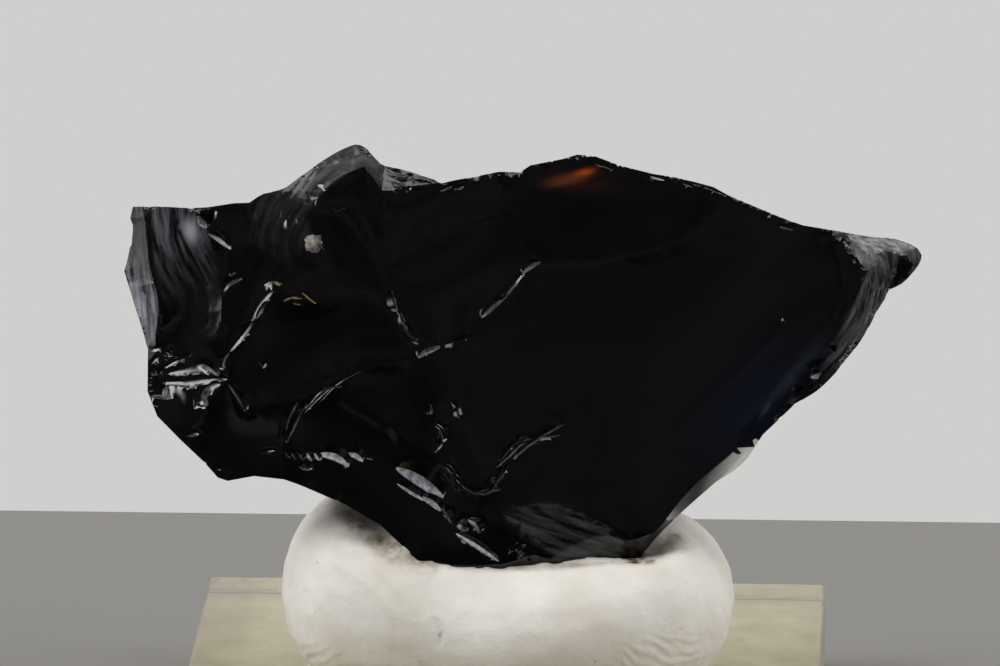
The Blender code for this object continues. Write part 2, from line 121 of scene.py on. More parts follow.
# Narrow breaks in the stone's front: a path of points (across, up), the width, and the look.
BREAKS = {
    "end of the hollow scar": [
        ([(4.55, 21.3), (4.8, 20.95), (5.1, 20.6)], 0.42, "bright"),
        ([(5.2, 20.25), (5.8, 19.9), (6.6, 19.3)], 0.24, "bright"),
    ],
    "small curl": [
        ([(6.2, 16.7), (6.5, 17.15), (7.3, 17.55)], 0.24, "fresh"),
        ([(6.45, 17.7), (6.9, 17.9)], 0.15, "glass"),
    ],
    "edge of the olive face": [
        ([(9.15, 16.8), (8.4, 15.85), (7.9, 14.95)], 0.3, "fresh"),
        ([(7.95, 14.9), (7.2, 13.8), (6.55, 13.1)], 0.22, "fresh"),
        ([(6.5, 13.05), (6.2, 12.6), (6.15, 12.1)], 0.16, "fresh"),
        ([(8.8, 16.2), (8.2, 15.1)], 0.15, "glass"),
        ([(8.55, 12.1), (8.75, 12.4)], 0.16, "bright"),
    ],
    "stained flecks": [
        ([(8.6, 17.15), (9.1, 17.3), (9.7, 17.2)], 0.15, "stained"),
        ([(9.75, 16.15), (10.35, 16.4), (10.9, 16.3)], 0.14, "stained"),
        ([(10.9, 16.7), (11.3, 16.35), (11.75, 16.0)], 0.12, "stained"),
        ([(10.3, 16.05), (10.8, 15.95)], 0.1, "stained"),
    ],
    "star on the left": [
        ([(2.7, 11.75), (4.2, 12.0), (4.9, 12.2), (5.9, 11.6)], 0.34, "fresh"),
        ([(2.4, 11.2), (3.8, 11.15), (5.0, 11.3), (6.4, 11.45)], 0.36, "fresh"),
        ([(2.7, 11.1), (2.6, 10.6), (2.55, 10.2)], 0.42, "fresh"),
        ([(6.0, 11.15), (5.4, 10.9), (4.95, 10.4), (5.2, 9.85)], 0.45, "fresh"),
        ([(6.4, 11.2), (7.0, 10.35), (7.45, 9.5)], 0.17, "fresh"),
        ([(2.5, 12.1), (3.45, 12.6), (4.1, 12.9)], 0.22, "glass"),
        ([(1.7, 13.1), (2.3, 13.3)], 0.22, "fresh"),
        ([(1.75, 12.35), (2.15, 12.75)], 0.16, "fresh"),
        ([(1.7, 11.7), (2.4, 11.9)], 0.24, "fresh"),
    ],
    "low on the left": [
        ([(3.95, 8.0), (4.7, 8.15)], 0.22, "fresh"),
        ([(8.45, 7.0), (9.3, 7.15)], 0.14, "glass"),
        ([(10.65, 10.05), (10.25, 9.3), (9.95, 8.3)], 0.16, "fresh"),
        ([(10.95, 9.65), (10.55, 8.8), (10.0, 7.6)], 0.15, "fresh"),
    ],
    "row of teeth": [
        ([(9.9, 7.0), (10.15, 6.7)], 0.14, "fresh"),
        ([(10.25, 7.0), (10.55, 6.6)], 0.15, "fresh"),
        ([(10.7, 7.0), (11.0, 6.55)], 0.17, "fresh"),
        ([(11.15, 7.0), (11.5, 6.5)], 0.18, "bright"),
        ([(11.6, 7.0), (11.95, 6.55)], 0.2, "bright"),
        ([(10.7, 6.15), (11.2, 6.0), (11.6, 6.1)], 0.16, "fresh"),
        ([(11.95, 6.95), (12.9, 6.75), (13.75, 6.2)], 0.42, "bright"),
        ([(13.65, 6.95), (14.1, 6.85), (14.6, 6.5)], 0.32, "bright"),
        ([(14.8, 6.7), (15.2, 6.6)], 0.12, "fresh"),
    ],
    "ledges over the putty": [
        ([(16.6, 6.1), (17.9, 5.4), (19.45, 4.3)], 0.62, "bright"),
        ([(16.65, 5.15), (17.5, 4.6), (18.4, 4.1)], 0.2, "bright"),
        ([(18.1, 4.35), (18.75, 4.0), (19.3, 3.5)], 0.34, "bright"),
        ([(19.3, 3.8), (19.95, 2.75)], 0.16, "fresh"),
        ([(20.2, 2.7), (20.6, 2.45), (21.0, 2.4)], 0.36, "fresh"),
        ([(20.9, 3.0), (21.3, 2.7), (21.65, 2.15)], 0.24, "fresh"),
        ([(20.2, 2.15), (21.4, 1.4), (22.8, 0.45)], 0.24, "bright"),
    ],
    "middle": [
        ([(17.9, 12.75), (18.4, 13.1), (19.25, 13.45)], 0.36, "fresh"),
        ([(19.4, 13.5), (20.3, 13.75), (21.0, 13.95)], 0.14, "glass"),
    ],
    "over the middle": [
        ([(16.3, 16.85), (16.5, 16.2), (16.7, 15.55)], 0.16, "fresh"),
        ([(16.9, 15.0), (17.3, 14.4), (17.9, 13.8)], 0.14, "glass"),
        ([(21.75, 15.15), (22.35, 15.7), (23.05, 16.3)], 0.26, "fresh"),
        ([(23.0, 16.35), (23.7, 17.05), (24.25, 17.8)], 0.17, "fresh"),
        ([(24.2, 17.8), (24.65, 18.2), (25.3, 18.55)], 0.26, "fresh"),
    ],
    "brown flake": [
        ([(26.7, 8.75), (25.6, 8.1), (24.5, 7.35), (23.7, 6.65)], 0.16, "brown"),
        ([(22.0, 4.7), (22.95, 4.8)], 0.14, "brown"),
    ],
    "right border": [
        ([(42.35, 11.85), (42.0, 11.6), (41.7, 11.55)], 0.26, "bright"),
        ([(43.3, 13.5), (43.15, 13.1)], 0.14, "fresh"),
        ([(41.3, 11.0), (40.8, 10.6)], 0.2, "glass"),
        ([(40.05, 15.3), (40.15, 14.9)], 0.07, "fresh"),
    ],
    "under the top edge": [
        ([(19.25, 22.8), (19.95, 23.1)], 0.14, "fresh"),
        ([(20.1, 22.9), (20.7, 23.1)], 0.14, "fresh"),
        ([(28.6, 24.45), (29.2, 24.3), (29.7, 24.1)], 0.08, "fresh"),
        ([(31.95, 23.72), (32.4, 23.6), (32.8, 23.5)], 0.13, "bright"),
        ([(33.9, 23.3), (34.5, 23.1)], 0.1, "fresh"),
        ([(39.8, 20.7), (40.6, 20.5)], 0.14, "fresh"),
    ],
}

# Broken edges: a run of points on the rim, how many nibbles, and their smallest and largest size.
NIBBLED_EDGES = [
    ([(13.9, 25.6), (15.3, 24.9), (17.8, 24.0), (19.3, 23.3), (21.3, 23.7), (24.1, 24.0)], 26, 0.12, 0.32),
    ([(24.7, 24.4), (26.7, 24.8), (28.5, 25.0), (30.1, 24.4)], 16, 0.06, 0.12),
    ([(30.1, 24.4), (33.4, 23.7), (36.7, 22.6), (39.8, 21.3), (43.0, 20.5), (46.8, 20.0)], 70, 0.06, 0.17),
    ([(43.3, 20.15), (44.2, 19.0), (45.3, 17.8)], 12, 0.07, 0.18),
    ([(45.9, 15.8), (43.2, 11.8), (40.7, 9.9), (38.8, 8.1)], 18, 0.1, 0.3),
    ([(1.2, 21.9), (5.2, 21.8), (8.4, 22.7), (10.5, 23.5), (12.9, 25.2)], 18, 0.08, 0.22),
    ([(1.5, 12.5), (2.1, 9.2), (5.0, 6.4), (8.0, 5.6), (13.5, 3.9)], 18, 0.06, 0.18),
    ([(0.0, 18.0), (1.2, 14.2)], 6, 0.08, 0.16),
]

# Bundles of fine strands: a path, how far they spread to each side, how many, their width and look.
BUNDLES = [
    ([(26.6, 8.4), (25.0, 7.9), (23.9, 7.3), (23.0, 5.9)], 0.42, 6, 0.11, "brown"),
    ([(23.6, 6.7), (22.85, 5.6), (21.9, 4.6), (20.9, 4.3)], 0.26, 6, 0.1, "brown"),
    ([(19.1, 6.4), (20.7, 4.8), (21.6, 4.0)], 0.42, 6, 0.07, "faint"),
    ([(18.7, 10.1), (18.75, 9.6), (18.7, 9.2)], 0.12, 2, 0.12, "fresh"),
    ([(19.6, 10.1), (20.2, 9.8), (20.45, 9.1)], 0.1, 2, 0.12, "fresh"),
    ([(19.1, 8.8), (19.2, 8.0), (19.0, 6.9)], 0.28, 4, 0.11, "fresh"),
    ([(10.1, 7.45), (10.7, 9.0), (11.8, 10.2), (13.4, 11.2), (14.6, 12.1)], 0.3, 4, 0.08, "faint"),
    ([(16.2, 16.9), (16.7, 15.6), (17.3, 14.4), (18.0, 13.6)], 0.16, 4, 0.08, "fresh"),
    ([(21.8, 15.1), (22.6, 15.9), (23.6, 17.0), (24.4, 17.9)], 0.12, 3, 0.08, "faint"),
]

# Crumbled ground: its outline, how many small breaks it has, and their smallest and largest size.
CRUMBLED = [
    ([(1.6, 11.4), (1.7, 13.5), (3.4, 13.1), (3.3, 12.2)], 9, 0.15, 0.4),
    ([(16.0, 22.7), (16.4, 24.1), (19.4, 23.4), (18.9, 23.0)], 12, 0.2, 0.5),
    ([(22.9, 1.0), (23.2, 2.2), (25.2, 0.6), (24.4, 0.2)], 8, 0.15, 0.35),
]

# Rippled ground: its outline, the line that its waves run along, their spacing, height and how
# finely the skin is divided for them. The last number is 1 on the front and -1 on the back.
RIPPLES = {
    "band under the peak": (
        [(10.0, 17.9), (12.0, 20.0), (11.4, 21.3), (12.4, 22.6), (14.6, 24.1), (15.9, 22.6),
         (19.5, 23.1), (19.5, 24.6), (14.2, 26.6), (7.4, 23.4), (7.4, 19.6)],
        [(10.7, 18.5), (10.5, 19.9), (10.9, 21.0), (11.5, 21.8), (12.1, 22.8), (13.3, 23.8),
         (14.6, 24.3), (15.9, 22.9), (17.2, 23.1), (19.3, 23.3)],
        0.55, 0.013, 4, 1),
    "strip on the left end": (
        [(-0.6, 22.6), (1.35, 22.6), (1.65, 18.1), (2.3, 15.6), (2.0, 13.8), (1.0, 12.8), (-0.6, 17.5)],
        [(1.3, 22.0), (1.5, 18.0), (2.2, 14.0)],
        0.36, 0.018, 4, 1),
    "hollow scar": (
        [(1.45, 22.2), (4.3, 22.2), (5.4, 20.2), (6.0, 18.0), (5.6, 14.2), (3.0, 13.8), (2.3, 15.8),
         (1.7, 18.5)],
        [(2.9, 22.0), (3.0, 20.0), (3.6, 18.3), (4.4, 16.9), (4.8, 15.0)],
        0.85, 0.012, 3, 1),
    "right tip": (
        [(43.7, 20.8), (48.8, 20.2), (48.8, 18.2), (46.8, 16.4), (44.6, 16.8), (44.9, 18.3)],
        [(43.5, 20.0), (45.9, 19.75), (47.0, 19.0), (46.4, 16.9)],
        0.42, 0.014, 3, 1),
    "right edge": (
        [(45.0, 18.0), (46.8, 16.7), (45.0, 13.6), (43.4, 11.3), (41.6, 10.0), (40.9, 10.9),
         (42.8, 13.2), (44.0, 15.8)],
        [(44.4, 17.9), (43.9, 15.6), (42.8, 13.7), (41.1, 12.0)],
        0.4, 0.016, 3, 1),
    "big right face": (
        [(19.5, 14.0), (25.0, 18.5), (36.0, 21.6), (43.6, 19.9), (44.0, 15.0), (37.0, 7.0),
         (30.0, 2.6), (24.0, 9.0)],
        [(20.0, 24.0), (27.0, 26.0), (36.0, 25.0)],
        2.6, 0.012, 0, 1),
    "back": (
        [(-1.0, 4.0), (-1.0, 23.0), (14.0, 27.0), (49.0, 22.0), (49.0, 14.0), (34.0, 2.0), (12.0, 3.0)],
        [(8.0, 26.0), (24.0, 28.5), (40.0, 26.0)],
        1.5, 0.03, 0, -1),
}
RIPPLE_FADE = 0.35

# Soft folds in the skin: a path of points, the half width, and the height (a furrow's is negative).
FOLDS = [
    ([(3.1, 21.2), (3.2, 19.8), (3.7, 18.4), (4.5, 17.3)], 0.2, -0.07),
    ([(3.45, 20.4), (3.9, 19.2), (4.6, 18.2), (5.1, 17.2)], 0.18, -0.06),
    ([(3.3, 20.9), (3.6, 19.7), (4.1, 18.4), (4.8, 17.3)], 0.14, 0.04),
    ([(1.35, 21.2), (1.45, 20.0), (1.6, 18.2), (1.9, 16.6)], 0.12, -0.08),
    ([(7.6, 22.0), (7.9, 21.2), (8.3, 20.2)], 0.26, 0.07),
    ([(8.5, 22.4), (8.8, 21.5), (8.9, 20.4)], 0.26, 0.08),
    ([(9.3, 22.7), (9.9, 21.4), (10.3, 20.0)], 0.26, 0.08),
    ([(10.0, 21.8), (10.5, 20.6), (10.4, 19.3)], 0.2, -0.06),
    ([(8.2, 20.3), (9.6, 19.5), (10.8, 18.9), (12.0, 18.2)], 0.3, 0.05),
    ([(22.9, 22.3), (23.6, 21.9), (24.6, 21.6)], 0.25, 0.008),
    ([(24.0, 23.1), (24.5, 22.5), (25.4, 22.2)], 0.14, 0.01),
    ([(15.9, 24.0), (16.6, 23.7), (17.7, 23.6), (19.2, 23.4)], 0.13, 0.05),
    ([(16.2, 23.3), (17.2, 23.0), (18.4, 23.1)], 0.12, 0.05),
    ([(33.2, 7.9), (35.6, 10.4), (37.4, 12.0), (40.0, 14.5)], 0.3, 0.02),
    ([(37.6, 8.3), (39.6, 10.6), (41.4, 12.7), (42.8, 14.3)], 0.22, 0.04),
    ([(43.1, 19.6), (43.6, 17.6), (43.1, 15.4), (42.2, 13.4)], 0.16, 0.05),
    ([(10.1, 9.9), (9.8, 8.9), (9.6, 7.9)], 0.12, 0.05),
    ([(8.9, 10.4), (10.2, 10.6), (12.4, 11.4), (14.3, 11.2)], 0.25, 0.04),
    ([(12.9, 10.4), (15.0, 9.2), (17.0, 8.0)], 0.3, 0.03),
]
# Painted sheen: grey streaks laid into the skin's colour in place of its reflections, running the
# way the fracture ran: the outline, the line that the streaks follow, how strong the painted
# sheen is along that line, how softly it begins, and bare lines where it is left out.
PAINTED_SHEENS = {
    "band under the peak": (
        *RIPPLES["band under the peak"][:2],
        [(0.0, 0.08), (0.12, 0.18), (0.27, 0.28), (0.4, 0.42), (0.55, 0.42), (0.66, 0.32), (0.8, 0.1),
         (1.0, 0.08)], 0.6,
        [[(15.9, 24.1), (16.6, 23.8), (17.7, 23.7)], [(16.6, 23.0), (17.6, 23.3), (18.6, 23.4)]]),
    "strip on the left end": (
        *RIPPLES["strip on the left end"][:2], [(0.0, 0.24), (0.3, 0.45), (0.55, 0.9), (1.0, 1.1)], 0.2, []),
    "leaf on the left end": (
        [(1.1, 16.9), (1.7, 16.2), (2.1, 15.0), (1.95, 13.4), (1.45, 13.7), (1.0, 15.6)],
        [(1.4, 16.9), (1.8, 13.3)], [(0.0, 1.6), (1.0, 1.6)], 0.1, []),
    "hollow scar": (
        *RIPPLES["hollow scar"][:2],
        [(0.0, 0.62), (0.25, 0.62), (0.45, 0.45), (0.7, 0.2), (1.0, 0.0)], 0.4,
        [[(3.1, 21.4), (3.2, 20.0), (3.7, 18.6), (4.5, 17.3)], [(3.45, 20.4), (4.0, 19.2), (5.1, 17.2)]]),
    "right edge": (
        *RIPPLES["right edge"][:2], [(0.0, 0.55), (0.4, 0.55), (0.75, 0.4), (1.0, 0.0)], 0.3, []),
    "low face over the putty": (
        [(22.7, 3.5), (25.4, 4.1), (27.4, 3.8), (28.9, 2.9), (30.85, 1.5), (30.1, 0.4), (26.2, 0.6),
         (24.1, 2.3)],
        [(22.7, 3.5), (30.5, 1.0)], [(0.0, 0.4), (1.0, 0.4)], 0.08, []),
}
BARE_LINE = 0.11
STREAK_STRETCH = 0.12

# Ridges sharper than this stay crisp; on the rippled ground the limit is higher.
RIDGE_ANGLE = 14.0
SOFT_RIDGE_ANGLE = 38.0
SOFT_GROUND = ("band under the peak", "strip on the left end", "hollow scar", "right tip", "right edge")
FOLD_REACH = 2.6
FOLD_MESH = 0.6

# The white percussion bruise on the front: its place, size and relief.
BRUISE_PLACE = (11.6, 19.75)
BRUISE_RADIUS = 0.66
BRUISE_RELIEF = 0.32
BRUISE_LIFT = 0.35
BRUISE_FLATNESS = 0.6

# Skin that broke matt: the thin clear lip on the lower right, and the right tip. The faces under
# the tip take a darker copy of the tip's look: painted shade.
MATT_REGIONS = [
    ([(38.9, 8.2), (37.5, 7.2), (36.3, 6.35), (35.0, 5.4), (33.5, 4.0), (33.8, 3.0), (36.0, 4.6),
      (39.2, 7.6)], "lip"),
    ([(43.5, 20.5), (44.6, 20.8), (48.8, 20.2), (48.8, 19.0), (47.2, 19.0), (46.2, 19.2), (45.2, 19.0)],
     "matt top"),
    ([(44.0, 20.0), (45.2, 19.0), (46.2, 19.2), (47.1, 19.1), (46.9, 17.9), (46.3, 16.8), (45.4, 17.0),
      (45.1, 18.0)], "matt side"),
    ([(47.5, 19.1), (48.9, 19.9), (48.9, 17.9), (46.5, 16.4), (46.7, 17.0), (47.5, 17.6), (48.0, 18.4)],
     "matt side"),
]

# The looks of the skin. The pale tones of fresh and bright are partly painted glints and highlights; matt
# side is painted shade.
LOOKS = ("glass", "fresh", "bright", "stained", "brown", "bruise", "matt top", "matt side", "lip", "faint")
SKIN_REACH = 40.0
LID_HEIGHT = 3.0
PATH_STEP = 0.16
FLANK_STEPS = 3
FLANK_SAG = 0.03
RAMP_STEPS = 3
RAMP_SLOPE = math.tan(math.radians(19))
RAMP_RISE = 0.02
# A break's least width, as a share of its full one, and how far its rim may step between stations.
NARROWEST = 0.12
RIM_STEP = 0.12
# Nibbles are cut towards the stone's middle, from a rim found this far inside its outline.
STONE_MIDDLE = (24.0, 12.0)
NIBBLE_INSET = 0.07
# Crumbs lie about this way, in degrees with their spread, and this share of them is freshly broken.
CRUMB_TURN = (-60, 35)
FRESH_CRUMBS = 0.3
STONE_DRAW = 5
STONE_SMOOTH_ANGLE = 22


def linear(hex_colour):
    """An sRGB hex colour as linear RGBA."""
    parts = [int(hex_colour[i:i + 2], 16) / 255 for i in (1, 3, 5)]
    return [c / 12.92 if c <= 0.04045 else ((c + 0.055) / 1.055) ** 2.4 for c in parts] + [1.0]


def add_node(tree, kind, links=None, **settings):
    """One node: settings by name, with an input socket's name or number set under `sockets`."""
    node = tree.nodes.new(kind)
    for name, value in settings.pop("sockets", {}).items():
        node.inputs[name].default_value = value
    for name, value in settings.items():
        setattr(node, name, value)
    for name, source in (links or {}).items():
        tree.links.new(source, node.inputs[name])
    return node


def only(item):
    """Make one object the active and only selected one."""
    bpy.ops.object.select_all(action="DESELECT")
    item.select_set(True)
    bpy.context.view_layer.objects.active = item


def apply_modifier(piece, kind, **settings):
    modifier = piece.modifiers.new(kind.lower(), kind)
    for name, value in settings.items():
        setattr(modifier, name, value)
    only(piece)
    bpy.ops.object.modifier_apply(modifier=modifier.name)


def copy_node(node, name):
    """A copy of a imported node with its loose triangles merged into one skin."""
    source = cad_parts[node]
    piece = bpy.data.objects.new(name, source.data.copy())
    piece.data.materials.clear()
    bpy.context.collection.objects.link(piece)
    only(piece)
    bpy.ops.object.mode_set(mode="EDIT")
    bpy.ops.mesh.select_all(action="SELECT")
    bpy.ops.mesh.remove_doubles(threshold=0.000002)
    bpy.ops.object.mode_set(mode="OBJECT")
    return piece


def select_faces(piece, test):
    """Select just the faces that pass the test, in face mode."""
    only(piece)
    bpy.ops.object.mode_set(mode="EDIT")
    bpy.ops.mesh.select_mode(type="FACE")
    bpy.ops.mesh.select_all(action="DESELECT")
    bpy.ops.object.mode_set(mode="OBJECT")
    for face in piece.data.polygons:
        face.select = test(face)


def divide_faces(piece, test, cuts):
    select_faces(piece, test)
    bpy.ops.object.mode_set(mode="EDIT")
    bpy.ops.mesh.subdivide(number_cuts=cuts)
    bpy.ops.object.mode_set(mode="OBJECT")


def inside(x, y, outline):
    """Whether a flat point lies inside a closed outline."""
    crossings = False
    for (ax, ay), (bx, by) in zip(outline, outline[1:] + outline[:1]):
        if (ay > y) != (by > y):
            crossings ^= x < ax + (bx - ax) * (y - ay) / (by - ay)
    return crossings


def distance_to_path(x, y, path):
    """Distance from a flat point to the nearest place on a run of straight lines."""
    nearest = math.inf
    for (ax, ay), (bx, by) in zip(path, path[1:]):
        dx, dy = bx - ax, by - ay
        share = max(0.0, min(1.0, ((x - ax) * dx + (y - ay) * dy) / (dx * dx + dy * dy)))
        nearest = min(nearest, math.hypot(x - ax - share * dx, y - ay - share * dy))
    return nearest


def place_on_path(x, y, path):
    """The nearest place on a run of straight lines: how far off it (left is more) and how far along."""
    nearest = (math.inf, 0.0, 0.0)
    gone = 0.0
    for (ax, ay), (bx, by) in zip(path, path[1:]):
        dx, dy = bx - ax, by - ay
        length = math.hypot(dx, dy)
        share = max(0.0, min(1.0, ((x - ax) * dx + (y - ay) * dy) / length**2))
        off = math.hypot(x - ax - share * dx, y - ay - share * dy)
        side = math.copysign(off, dx * (y - ay) - dy * (x - ax))
        nearest = min(nearest, (off, side, gone + share * length))
        gone += length
    return nearest[1], nearest[2], gone


def along(profile, x):
    """The value at x on a line through the given points."""
    for (x0, a), (x1, b) in zip(profile, profile[1:]):
        if x <= x1:
            return a + (b - a) * max(0.0, (x - x0) / (x1 - x0))
    return profile[-1][1]


def smooth_path(points, step):
    """Points about `step` apart on a smooth curve through the given flat points (Catmull-Rom)."""
    points = [Vector(p) for p in points]
    padded = [points[0], *points, points[-1]]
    result = [points[0]]
    for before, start, end, after in zip(padded, padded[1:], padded[2:], padded[3:]):
        steps = max(2, round((end - start).length / step))
        for count in range(1, steps + 1):
            t = count / steps
            bend = (2 * start + (end - before) * t + (2 * before - 5 * start + 4 * end - after) * t**2
                    + (3 * start - before - 3 * end + after) * t**3)
            result.append(bend / 2)
    return result


def smooth_step(share):
    share = max(0.0, min(1.0, share))
    return share * share * (3 - 2 * share)


# Stage: floor, backdrop, light and camera ------------------------------------------------------

def add_camera():
    turn, height = math.radians(VIEW_TURN), math.radians(VIEW_HEIGHT)
    toward = Vector((math.sin(turn) * math.cos(height), -math.cos(turn) * math.cos(height),
                     math.sin(height)))
    right = Vector((math.cos(turn), math.sin(turn), 0))
    place = Vector(VIEW_AIM) * MM + toward * VIEW_DISTANCE
    camera = bpy.data.objects.new("camera", bpy.data.cameras.new("camera"))
    bpy.context.collection.objects.link(camera)
    axes = Matrix((right, toward.cross(right), toward)).transposed()
    camera.matrix_world = Matrix.Translation(place) @ axes.to_4x4()
    camera.data.sensor_width = SENSOR
    camera.data.lens = PIXELS_PER_MM * VIEW_DISTANCE / MM / FRAME_WIDTH * SENSOR
    camera.data.clip_start = 0.01
    camera.data.clip_end = 20
    bpy.context.scene.camera = camera


def add_floor():
    bpy.ops.object.select_all(action="DESELECT")
    bpy.ops.mesh.primitive_grid_add(x_subdivisions=8, y_subdivisions=8, size=1.0)
    floor = bpy.context.object
    floor.name = "floor"
    for vertex in floor.data.vertices:
        vertex.co.x *= FLOOR_SIZE[0]
        vertex.co.y = vertex.co.y * FLOOR_SIZE[1] + FLOOR_CENTRE_Y
        vertex.co.z = -FLOOR_DROP
    paint = bpy.data.materials.new("matt painted table")
    paint.use_nodes = True
    shader = paint.node_tree.nodes["Principled BSDF"]
    # It is paler in front, and so throws light up on to the mount's front.
    tree = paint.node_tree
    where = add_node(tree, "ShaderNodeTexCoord").outputs["Object"]
    split = add_node(tree, "ShaderNodeSeparateXYZ", {0: where})
    share = remap(tree, split.outputs["Y"], *FLOOR_PALES)
    tree.links.new(blend(tree, share, COLOURS["floor"], COLOURS["floor in front"]),
                   shader.inputs["Base Color"])
    shader.inputs["Roughness"].default_value = 0.9
    shader.inputs["Specular IOR Level"].default_value = 0.2
    floor.data.materials.append(paint)
    # The stone mirrors a soft card in its place, which has no hard edge.
    floor.visible_glossy = False


def softbox(tree, where, side, half, level):
    """Light from a far softbox: full in the middle of its face, fading out over its edge."""
    azimuth, height = (math.radians(angle) for angle in side)
    out = Vector((math.sin(azimuth) * math.cos(height), -math.cos(azimuth) * math.cos(height),
                  math.sin(height)))
    across = Vector((math.cos(azimuth), math.sin(azimuth), 0.0))
    reach = [add_node(tree, "ShaderNodeVectorMath", {0: where}, operation="DOT_PRODUCT",
                      sockets={1: axis}).outputs["Value"] for axis in (out, across, out.cross(across))]
    ahead = add_node(tree, "ShaderNodeMath", {0: reach[0]}, operation="MAXIMUM", sockets={1: 0.001})
    light = None
    for sideways, angle in zip(reach[1:], half):
        slope = add_node(tree, "ShaderNodeMath", {0: sideways, 1: ahead.outputs[0]}, operation="DIVIDE")
        far = add_node(tree, "ShaderNodeMath", {0: slope.outputs[0]}, operation="ABSOLUTE")
        limit = math.tan(math.radians(angle))
        fade = add_node(tree, "ShaderNodeMapRange", {"Value": far.outputs[0]},
                        interpolation_type="SMOOTHSTEP",
                        sockets={"From Min": limit * (1 + SOFTBOX_EDGE),
                                 "From Max": limit * (1 - SOFTBOX_EDGE),
                                 "To Max": level if light is None else 1.0})
        light = fade.outputs[0] if light is None else times(tree, light, fade.outputs[0])
    return light


def add_room():
    """A plain pale backdrop for the eye, and a room that is dark in front of the stone."""
    world = bpy.data.worlds.new("studio")
    world.use_nodes = True
    bpy.context.scene.world = world
    tree = world.node_tree
    tree.nodes.clear()
    where = add_node(tree, "ShaderNodeTexCoord").outputs["Generated"]
    split = add_node(tree, "ShaderNodeSeparateXYZ", {0: where})
    cloud = add_node(tree, "ShaderNodeTexNoise", {"Vector": where}, sockets={"Scale": 2.2, "Detail": 1.0})
    front = add_node(tree, "ShaderNodeMapRange", {"Value": cloud.outputs[0]},
                     sockets={"From Min": 0.35, "From Max": 0.65, "To Min": 0.6 * ROOM_FRONT,
                              "To Max": 1.4 * ROOM_FRONT})
    behind = add_node(tree, "ShaderNodeMapRange",
                      {"Value": split.outputs["Y"], "To Min": front.outputs[0]},
                      sockets={"From Min": -0.15, "From Max": 0.35, "To Max": ROOM_BACK})
    below = add_node(tree, "ShaderNodeMapRange", {"Value": split.outputs["Z"]},
                     sockets={"From Min": -0.1, "From Max": 0.0, "To Min": ROOM_BELOW})
    light = times(tree, behind.outputs[0], below.outputs[0])
    for side, half, level in SOFTBOXES.values():
        box = softbox(tree, where, side, half, level)
        light = add_node(tree, "ShaderNodeMath", {0: light, 1: box}, operation="ADD").outputs[0]
    room = add_node(tree, "ShaderNodeBackground", {"Strength": light})
    seen = add_node(tree, "ShaderNodeBackground",
                    sockets={"Color": linear(COLOURS["backdrop"]), "Strength": 1.0})
    ray = add_node(tree, "ShaderNodeLightPath")
    mix = add_node(tree, "ShaderNodeMixShader",
                   {0: ray.outputs["Is Camera Ray"], 1: room.outputs[0], 2: seen.outputs[0]})
    add_node(tree, "ShaderNodeOutputWorld", {"Surface": mix.outputs[0]})


def add_stage():
    add_floor()
    add_room()
    bpy.context.scene.view_settings.view_transform = "Standard"
    bpy.context.scene.cycles.use_denoising = True


# Stone: shape ----------------------------------------------------------------------------------

def stone_frame():
    """From the stone's own frame, in millimetres, to the model's, in metres."""
    axes = Matrix(((1, 0, 0), (0, 0, -1), (0, 1, 0))).to_4x4()
    lean = Matrix.Rotation(math.radians(-STONE_LEAN), 4, "X")
    turn = Matrix.Rotation(math.radians(STONE_TURN), 4, "Z")
    place = Matrix.Translation(STONE_FOOT_PLACE)
    return Matrix.Scale(MM, 4) @ place @ turn @ lean @ axes @ Matrix.Translation(-Vector(STONE_FOOT))


def skin_of(piece):
    """A search tree of a piece's faces, to find its skin from a point outside."""
    mesh = piece.data
    return BVHTree.FromPolygons([v.co for v in mesh.vertices], [f.vertices for f in mesh.polygons])


def depth_at(skin, spot, side=1):
    """How far out the stone's skin lies at a flat point, or None past its outline."""
    start = Vector((spot[0], spot[1], side * SKIN_REACH))
    hit = skin.ray_cast(start, Vector((0, 0, -side)))[0]
    return hit.z if hit else None


def smooth_skin(stone):
    """Round off the facets between ridges, and keep the ridges crisp."""
    only(stone)
    bpy.ops.object.mode_set(mode="EDIT")
    bpy.ops.mesh.select_all(action="DESELECT")
    bpy.ops.mesh.edges_select_sharp(sharpness=math.radians(RIDGE_ANGLE))
    mesh = bmesh.from_edit_mesh(stone.data)
    for edge in mesh.edges:
        middle = (edge.verts[0].co + edge.verts[1].co) / 2
        if edge.select and in_soft_ground(middle.x, middle.y):
            edge.select = edge.calc_face_angle() > math.radians(SOFT_RIDGE_ANGLE)
    bpy.ops.transform.edge_crease(value=1.0)
    bpy.ops.object.mode_set(mode="OBJECT")
    apply_modifier(stone, "SUBSURF", levels=1, render_levels=1)


def ripple(stone, outline, guide, spacing, height, cuts, side):
    """Raise waves that run along the guide line inside one outline of the skin."""
    def in_region(face):
        x, y, _ = face.center
        return face.normal.z * side > 0 and inside(x, y, outline)

    if cuts:
        divide_faces(stone, in_region, cuts)
    closed = outline + outline[:1]
    normals = [vertex.normal.copy() for vertex in stone.data.vertices]
    for vertex, normal in zip(stone.data.vertices, normals):
        x, y, _ = vertex.co
        if normal.z * side <= 0 or not inside(x, y, outline):
            continue
        fade = smooth_step(distance_to_path(x, y, closed) / RIPPLE_FADE)
        stray = noise.noise(vertex.co / (2.5 * spacing))
        phase = distance_to_path(x, y, guide) / spacing + 0.6 * stray
        wave = math.sin(2 * math.pi * phase) + 0.4 * math.sin(4.6 * math.pi * phase)
        vertex.co += normal * height * fade * (0.7 + stray) * wave


def in_soft_ground(x, y):
    return any(inside(x, y, RIPPLES[name][0]) for name in SOFT_GROUND)


